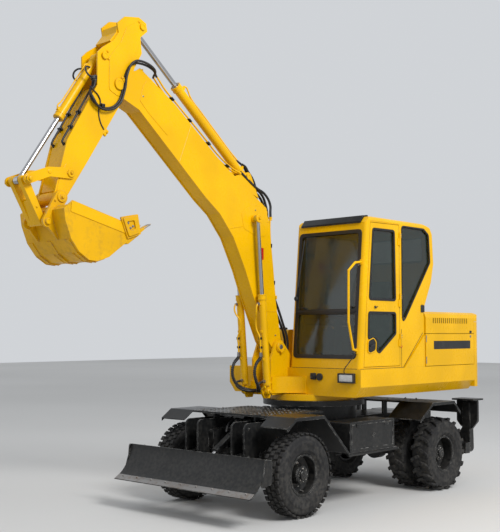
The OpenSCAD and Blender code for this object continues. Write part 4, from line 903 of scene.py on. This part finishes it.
# Boom: painted steel pipes along its back under bolted clamps, with rubber hoses round its knee. Weld beads
# follow its plates' edges, and doubler plates stiffen its tip and the cylinders' pin.
back = [(-0.555, 2.25), (-0.572, 2.3), (-0.59, 2.44), (-0.612, 2.62), (-0.64, 2.84), (-0.655, 3.06),
    (-0.65, 3.17)]
for k, x in enumerate(lines):
    hose(f"back_pipe_{k}", [(x, y + 0.022, z) for y, z in back], 0.0105, "boom", yellow_paint)
    knee = [(-0.65, 3.148), (-0.652, 3.205), (-0.655 - 0.02 * (k % 2), 3.29), (-0.735, 3.395),
        (-0.9, 3.465 + 0.02 * (k % 2)), (-1.04, 3.545), (-1.15, 3.61)]
    hose(f"knee_hose_{k}", [(x, y + 0.03, z + 0.03) for y, z in knee], 0.0145, "boom")
    top = [(-1.15, 3.61), (-1.25, 3.64), (-1.44, 3.735), (-1.7, 3.925), (-1.93, 4.095), (-2.12, 4.235),
        (-2.25, 4.33), (-2.36, 4.44)]
    hose(f"top_pipe_{k}", [(x, y + 0.008, z + 0.022) for y, z in top], 0.0095, "boom", yellow_paint)
draw("pipe_clamps")
for y, z, tilt in ((-0.575, 2.43, 0.09), (-0.625, 2.85, 0.09), (-1.33, 3.678, 0.54), (-1.62, 3.885, 0.65),
        (-1.9, 4.088, 0.63), (-2.15, 4.272, 0.63)):
    turn = (pi / 2 - tilt if z < 3 else pi - tilt, 0, 0)
    block((mid, y, z), (0.21, 0.045, 0.014), turn)
    c, s = math.cos(tilt), math.sin(tilt)
    normal = Vector((0, c, s)) if z < 3 else Vector((0, s, c))
    for x in (mid + 0.054, mid, mid - 0.054):
        bolt(Vector((x, y, z)) + normal * 0.008, normal, 0.007)
close("boom", black_paint)
draw("pipe_nuts")
for x in lines:
    for y, z, way in ((-0.62, 3.16, (0, -0.05, 1)), (-1.14, 3.63, (0, 0.9, -0.5)),
            (-0.535, 2.262, (0, -0.2, 1))):
        turned((x, y, z), way, [(-0.02, 0.013), (-0.018, 0.017), (0, 0.017), (0.002, 0.02), (0.02, 0.02),
            (0.022, 0.015)], 6)
close("boom", yellow_paint)

boom_line = [(-0.46, 1.72), (-0.47, 1.785), (-0.57, 2.28), (-0.64, 2.84), (-0.67, 3.13), (-0.76, 3.3),
    (-1.0, 3.44), (-1.44, 3.7), (-2.12, 4.215), (-2.6, 4.5)]
boom_low = [(-2.74, 4.19), (-1.67, 3.29), (-1.46, 3.14), (-1.25, 2.9), (-1.06, 2.55), (-0.94, 2.28),
    (-0.68, 1.76)]
draw("boom_welds")
for s in (-1, 1):
    x = mid + s * 0.0925
    for line, inward in ((boom_line, Vector((-0.8, -0.6))), (boom_low, Vector((0.8, 0.6)))):
        for a, b in zip(line, line[1:]):
            way = (Vector(b) - Vector(a)).normalized()
            side = Vector((-way.y, way.x))
            side *= 0.012 if side.dot(inward) > 0 else -0.012
            rod((x, a[0] + side.x, a[1] + side.y), (x, b[0] + side.x, b[1] + side.y), 0.0045, 8)
    x = mid + s * 0.104
    rod((x, -0.545, 2.1), (x, -0.848, 2.1), 0.0045, 8)
    rod((x, -1.9, 4.03), (x, -2.06, 3.63), 0.0045, 8)
    rod((x, -0.668, 3.12), (x, -1.33, 2.99), 0.0045, 8)
close("boom", yellow_paint)


def side_plates(name, loops, thick, off, body, finish, edge):
    for s, side in ((1, "near"), (-1, "far")):
        panel(f"{name}_{side}", loops, thick, (mid + s * off, 0, 0), body, finish, edge)


side_plates("boom_tip_doubler", [rounded([(-2.18, 4.215), (-2.5, 4.405), (-2.56, 4.33), (-2.6, 4.17),
    (-2.48, 4.06), (-2.21, 3.86)], 0.03)], 0.006, 0.105, "boom", yellow_paint, 0.002)
side_plates("boom_ram_doubler", [rounded([(-0.715, 3.29), (-0.7, 2.96), (-0.86, 2.93), (-1.09, 3.01),
    (-1.13, 3.18), (-0.98, 3.29)], 0.05)], 0.006, 0.105, "boom", yellow_paint, 0.002)
panel("blank_label", [rounded([(-0.845, 2.68), (-0.765, 2.68), (-0.765, 2.815), (-0.845, 2.815)], 0.008)],
    0.0016, (-0.0952, 0, 0), "boom", red_lens, 0.0004)
draw("boom_pin_caps")
for s in (-1, 1):
    outward(s, 0.144, -0.94, 3.13, [(0, 0.024), (0.05, 0.024)])
    pin_cap(s, 0.194, -0.94, 3.13, 0.05)
    side_bolt(s, 0.206, -0.94, 3.13, 0.012)
    pin_cap(s, 0.084, -0.99, 3.6, 0.036)
    side_bolt(s, 0.084, -0.935, 3.545, 0.008)
close("boom", yellow_paint)
draw("grease_points")
for x, y, z, way in ((-0.095, -0.57, 1.83, (1, 0, 0)), (-0.095, -0.905, 3.23, (1, 0, 0)),
        (-0.305, -0.57, 1.83, (-1, 0, 0)), (-0.095, -2.56, 4.22, (1, 0, 0))):
    turned((x, y, z), way, [(0, 0.009), (0.006, 0.009), (0.007, 0.006), (0.012, 0.005), (0.014, 0.003)], 6)
close("boom", bare_steel)

# Stick cylinder: a painted barrel with turned rings at both ends, ports, a steel pipe along it, and eight
# bolts round its mouth. Two rubber hoses reach it from the boom.
axis = Vector((0, -1.61, 1.31)).normalized()
above = Vector((0, 0.6311, 0.7757))


def arm(along, off=0.0, x=mid):
    return Vector((x, -0.99, 3.6)) + axis * along + above * off


draw("arm_cylinder_rings")
turned(arm(1.282), axis, [(0, 0.055), (0.002, 0.059), (0.016, 0.059), (0.018, 0.0555), (0.04, 0.0555),
    (0.042, 0.059), (0.056, 0.059), (0.058, 0.05), (0.058, 0.034)], 36)
turned(arm(0.04), axis, [(0, 0.0505), (0.002, 0.054), (0.024, 0.054), (0.026, 0.0505)], 36)
for along in (0.09, 1.25):
    block(arm(along, 0.056), (0.04, 0.04, 0.03), (math.atan2(1.31, -1.61), 0, 0), edge=0.005)
    turned(arm(along, 0.07), above, [(0, 0.018), (0.016, 0.018), (0.018, 0.014), (0.03, 0.014)], 6)
close("arm_tube", yellow_paint)
hose("arm_cylinder_pipe", [arm(1.25, 0.096), arm(1.225, 0.112), arm(1.18, 0.1), arm(1.12, 0.076),
    arm(0.9, 0.072), arm(0.6, 0.072), arm(0.32, 0.072), arm(0.24, 0.078), arm(0.2, 0.08)], 0.0085,
    "arm_tube", yellow_paint)
draw("arm_cylinder_bolts")
turned(arm(1.34), axis, [(0, 0.034), (0.004, 0.032), (0.005, 0.03)])
for a in range(8):
    side = above * math.cos(a * pi / 4) + Vector((1, 0, 0)) * math.sin(a * pi / 4)
    bolt(arm(1.34) + side * 0.043, axis, 0.0065)
close("arm_tube", bare_steel)
for k, x in enumerate((-0.185, -0.215)):
    flexing(f"arm_cylinder_hose_{k}", [(x, -0.79, 3.42), (x, -0.8, 3.5), (x, -0.85, 3.6), (x, -0.93, 3.68),
        arm(0.06, 0.11, x), arm(0.12 + 0.08 * k, 0.09 - 0.008 * k, x)], 0.012)

# Four rubber hoses hang in loops from the boom's tip to the stick's head, long enough for the stick's whole
# swing, and a bolted clamp binds them on each side.
for k, x in enumerate((-0.052, -0.027, -0.348, -0.373)):
    d = 0.018 * (k % 2)
    s = 1 if x > mid else -1
    near = [(-2.47, 4.5), (-2.63, 4.53 + d), (-2.74, 4.5 + d), (-2.815, 4.39), (-2.85, 4.23 - d),
        (-2.92, 4.08 - d), (-3.04, 4.01 - d), (-3.16, 4.02 - d), (-3.235, 4.08)]
    x1 = mid + s * (0.083 + 0.03 * (k % 2))
    points = [(lines[k], -2.36, 4.462)] + [(x, *p) for p in near]
    points += [(mid + s * 0.125, -3.232, 4.15), (x1, -3.175, 4.21), (x1, -3.166, 4.262)]
    flexing(f"loop_hose_{k}", points, 0.0115)
draw("loop_clamps")
for x in (-0.04, -0.36):
    block((x, -3.12, 4.016), (0.072, 0.034, 0.034), edge=0.004)
    bolt((x, -3.12, 4.034), (0, 0, 1), 0.007)
close("stick", black_paint)

# Stick: painted doubler plates round its pins, weld beads and pin caps. Brackets carry rubber hoses down its
# front and on to the bucket's cylinder, and a grease line runs down its near side.
stick_front = [(-3.15, 4.54), (-3.15, 4.22), (-3.49, 3.64), (-3.632, 3.105)]
stick_back = [(-3.512, 3.074), (-3.26, 3.46), (-2.79, 4.2), (-2.69, 4.48)]
draw("stick_welds")
for s in (-1, 1):
    x = mid + s * 0.1165
    for line, inward in ((stick_front, 1), (stick_back, -1)):
        for a, b in zip(line, line[1:]):
            rod((x, a[0] + inward * 0.012, a[1]), (x, b[0] + inward * 0.012, b[1]), 0.0045, 8)
close("stick", yellow_paint)
side_plates("stick_head_plate", [rounded([(-2.59, 4.9), (-2.65, 4.96), (-2.8, 4.86), (-2.87, 4.7),
    (-3.01, 4.52), (-3.01, 4.2), (-2.89, 4.15), (-2.79, 4.25), (-2.75, 4.5), (-2.65, 4.7)], 0.05)], 0.006,
    0.1325, "stick", yellow_paint, 0.002)
side_plates("stick_foot_plate", [rounded([(-3.6, 3.16), (-3.56, 3.06), (-3.5, 3.11), (-3.33, 3.37),
    (-3.37, 3.44), (-3.5, 3.42), (-3.56, 3.32)], 0.03)], 0.005, 0.132, "stick", yellow_paint, 0.002)
draw("stick_pin_caps")
for s in (-1, 1):
    pin_cap(s, 0.142, -2.89, 4.275, 0.058, 0.062, 0.7)
    pin_cap(s, 0.14, -2.6, 4.91, 0.034)
    side_bolt(s, 0.136, -2.64, 4.95, 0.009)
    pin_cap(s, 0.142, -3.07, 4.52, 0.036)
    for y, z in ((-3.03, 4.57), (-3.02, 4.5)):
        side_bolt(s, 0.133, y, z, 0.01)
    pin_cap(s, 0.154, -3.46, 3.33, 0.04)
    side_bolt(s, 0.166, -3.46, 3.33, 0.011)
    block((mid + s * 0.12, -3.045, 3.78), (0.026, 0.07, 0.05), (0.98, 0, 0), edge=0.006)
    side_bolt(s, 0.134, -3.03, 3.776, 0.008)
close("stick", yellow_paint)
draw("hose_brackets")
for s in (-1, 1):
    block((mid + s * 0.098, -3.166, 4.29), (0.066, 0.034, 0.044), edge=0.004)
    for dx in (-0.015, 0.015):
        turned((mid + s * 0.098 + dx, -3.166, 4.272), (0, 0, -1), [(0, 0.011), (0.004, 0.014), (0.02, 0.014),
            (0.022, 0.011)], 6)
        turned((mid + s * 0.098 + dx, -3.178, 4.292), (0, -1, 0), [(0, 0.01), (0.004, 0.012), (0.016, 0.012),
            (0.018, 0.009)], 6)
    block((mid + s * 0.08, -3.33, 3.935), (0.06, 0.02, 0.034), (0.53, 0, 0), edge=0.004)
    block((mid + s * 0.08, -3.42, 3.78), (0.06, 0.02, 0.034), (0.53, 0, 0), edge=0.004)
    turned((mid + s * 0.082, -3.502, 3.613), (0, 0.861, -0.509), [(0, 0.012), (0.004, 0.017), (0.02, 0.017),
        (0.022, 0.02), (0.034, 0.02)], 6)
close("stick", black_paint)
for s in (-1, 1):
    x = mid + s * 0.082
    hose(f"stick_front_hose_{s + 1}", [(x, -3.166, 4.26), (x, -3.18, 4.2), (x, -3.23, 4.115),
        (x, -3.33, 3.945), (x, -3.42, 3.79), (x, -3.475, 3.7), (x, -3.506, 3.645), (x, -3.511, 3.622),
        (x, -3.496, 3.609)], 0.01, "stick")
    flexing(f"bucket_cylinder_hose_{s + 1}", [(mid + s * 0.112, -3.196, 4.292),
        (mid + s * 0.112, -3.236, 4.3), (mid + s * 0.1, -3.262, 4.34), (mid + s * 0.07, -3.236, 4.39),
        (mid + s * 0.046, -3.18, 4.4)], 0.009)
hose("grease_line", [(-0.062, -3.245, 4.19), (-0.062, -3.12, 4.08), (-0.065, -3.135, 3.96),
    (-0.065, -3.11, 3.86), (-0.065, -3.07, 3.8)], 0.006, "stick", sides=3)

# Bucket cylinder: a painted barrel with turned rings at both ends, ports, a steel pipe along it, and six
# bolts round its mouth.
slope = Vector((0, -0.85, -1.295)).normalized()
over = Vector((0, -0.836, 0.5487))


def curl(along, off=0.0):
    return Vector((mid, -3.07, 4.52)) + slope * along + over * off


draw("bucket_cylinder_rings")
turned(curl(0.736), slope, [(0, 0.047), (0.002, 0.051), (0.014, 0.051), (0.016, 0.0475), (0.038, 0.0475),
    (0.04, 0.051), (0.054, 0.051), (0.056, 0.044), (0.056, 0.03)], 32)
turned(curl(0.044), slope, [(0, 0.0425), (0.002, 0.046), (0.02, 0.046), (0.022, 0.0425)], 32)
for along in (0.14, 0.715):
    block(curl(along, 0.046), (0.034, 0.034, 0.024), (math.atan2(-1.295, -0.85), 0, 0), edge=0.004)
close("bucket_tube", yellow_paint)
hose("bucket_cylinder_pipe", [curl(0.715, 0.058), curl(0.69, 0.072), curl(0.64, 0.062), curl(0.56, 0.058),
    curl(0.35, 0.058), curl(0.2, 0.058), curl(0.14, 0.062)], 0.007, "bucket_tube", yellow_paint)
draw("bucket_cylinder_bolts")
for a in range(6):
    side = over * math.cos(a * pi / 3) + Vector((1, 0, 0)) * math.sin(a * pi / 3)
    bolt(curl(0.792) + side * 0.036, slope, 0.005)
close("bucket_tube", bare_steel)

# Link and rocker: turned pin caps with six-sided nuts on both sides, and greasers at the rocker's pins, all
# painted with them.
draw("link_caps")
for s in (-1, 1):
    outward(s, 0.165, -3.92, 3.225, [(0, 0.023), (0.002, 0.036), (0.012, 0.036), (0.016, 0.031),
        (0.016, 0.019), (0.03, 0.019), (0.032, 0.015)], 6)
    outward(s, 0.152, -3.92, 3.225, [(0, 0.04), (0.008, 0.04), (0.01, 0.037)], 28)
    side_bolt(s, 0.098, -3.79, 2.99, 0.008)
close("bucket_link", yellow_paint)
draw("rocker_bolts")
for s in (-1, 1):
    outward(s, 0.153, -3.695, 3.318, [(0, 0.02), (0.004, 0.02), (0.006, 0.016)], 20)
    for y, z in ((-3.88, 3.245), (-3.5, 3.325)):
        outward(s, 0.153, y, z, [(0, 0.008), (0.005, 0.008), (0.006, 0.005), (0.012, 0.004)], 6)
close("rocker", yellow_paint)

# Bucket: welded plate whose yellow paint is worn by the ground. It has painted pin caps and seam plates,
# bolted side cutters, weld seams under its floor, and five adapters; their pins and the teeth's tips are
# bare steel.
worn_paint = surface("worn_paint", (0.74, 0.395, 0.0005), (0.22, 0.13, 0.03), 0.36,
    worn=(0.3, 0.26, 0.2), dusty=0.3, wear=0.8, edge=0.007, depth=0.2, grain=180.0, shine=0.22)
dress(worn_paint, "bucket")
draw("bucket_caps")
for s in (-1, 1):
    pin_cap(s, 0.165, -3.57, 3.095, 0.048)
    side_bolt(s, 0.178, -3.57, 3.095, 0.014)
    side_bolt(s, 0.165, -3.64, 3.06, 0.01)
    pin_cap(s, 0.176, -3.72, 2.86, 0.028)
close("bucket", yellow_paint)
side_plates("bucket_side_plate", [rounded([(-3.594, 3.03), (-3.565, 3.04), (-3.0, 2.9), (-2.95, 2.79),
    (-3.6, 2.945)], 0.008)], 0.007, 0.348, "bucket", yellow_paint, 0.002)
side_plates("side_cutter", [rounded([(-3.02, 2.935), (-2.85, 2.972), (-2.812, 2.81), (-2.945, 2.765)],
    0.016), rounded([(-2.975, 2.905), (-2.885, 2.925), (-2.865, 2.845), (-2.935, 2.82)], 0.012)], 0.016,
    0.369, "bucket", worn_paint, 0.003)
draw("cutter_bolts")
for s in (-1, 1):
    for y, z in ((-2.95, 2.895), (-2.892, 2.868), (-2.92, 2.85)):
        side_bolt(s, 0.362, y, z, 0.009)
close("bucket", bare_steel)
teeth = [-0.505 + 0.1525 * k for k in range(5)]
for k, x in enumerate(teeth):
    panel(f"adapter_{k}", [rounded([(-2.99, 2.708), (-2.93, 2.696), (-2.8, 2.788), (-2.765, 2.845),
        (-2.8, 2.852), (-2.99, 2.762)], 0.012)], 0.076, (x, 0, 0), "bucket", worn_paint, 0.005)
draw("tooth_pins")
for x in teeth:
    rod((x - 0.042, -2.835, 2.812), (x + 0.042, -2.835, 2.812), 0.008, 12, 0.002)
close("bucket", bare_steel)
draw("tooth_tips")
for x in teeth:
    block((x, -2.69, 2.884), (0.067, 0.096, 0.012), (0.5, 0, 0), edge=0.005)
close("bucket", bare_steel)
draw("bucket_seams")
for x in (-0.515, -0.455, -0.23, -0.17, 0.055, 0.115):
    for a, b in (((-3.51, 2.58), (-3.395, 2.512)), ((-3.395, 2.512), (-3.29, 2.505))):
        rod((x, *a), (x, *b), 0.004, 8)
close("bucket", worn_paint)

# The stage: a wide pale floor, a large soft key light high on the camera's right, and a weak fill from the
# left, under a bright even sky.
bpy.ops.mesh.primitive_plane_add(size=90, location=(0, 0, -0.002))
floor = bpy.context.object
floor.name = "floor"
pale = surface("pale_floor", (0.64, 0.635, 0.62), (0.6, 0.59, 0.575), 0.85, dusty=0.1, patch=0.05)
floor.data.materials.append(pale)
floor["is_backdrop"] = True
world = bpy.context.scene.world or bpy.data.worlds.new("studio")
bpy.context.scene.world = world
world.use_nodes = True
world.node_tree.nodes["Background"].inputs["Color"].default_value = (0.93, 0.96, 1.0, 1)
world.node_tree.nodes["Background"].inputs["Strength"].default_value = 0.68
for name, place, size, power, aim in (("key", (9.5, -2.6, 9.5), 4.0, 1260, (0, 0, 1.6)),
        ("fill", (-6.0, -9.0, 5.0), 7.0, 60, (0, -1, 1.8))):
    bpy.ops.object.light_add(type="AREA", location=place)
    lamp = bpy.context.object
    lamp.name = name
    lamp.data.size = size
    lamp.data.energy = power
    lamp.rotation_euler = (Vector(aim) - Vector(place)).to_track_quat("-Z", "Y").to_euler()
bpy.context.scene.view_settings.view_transform = "Standard"

low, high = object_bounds()
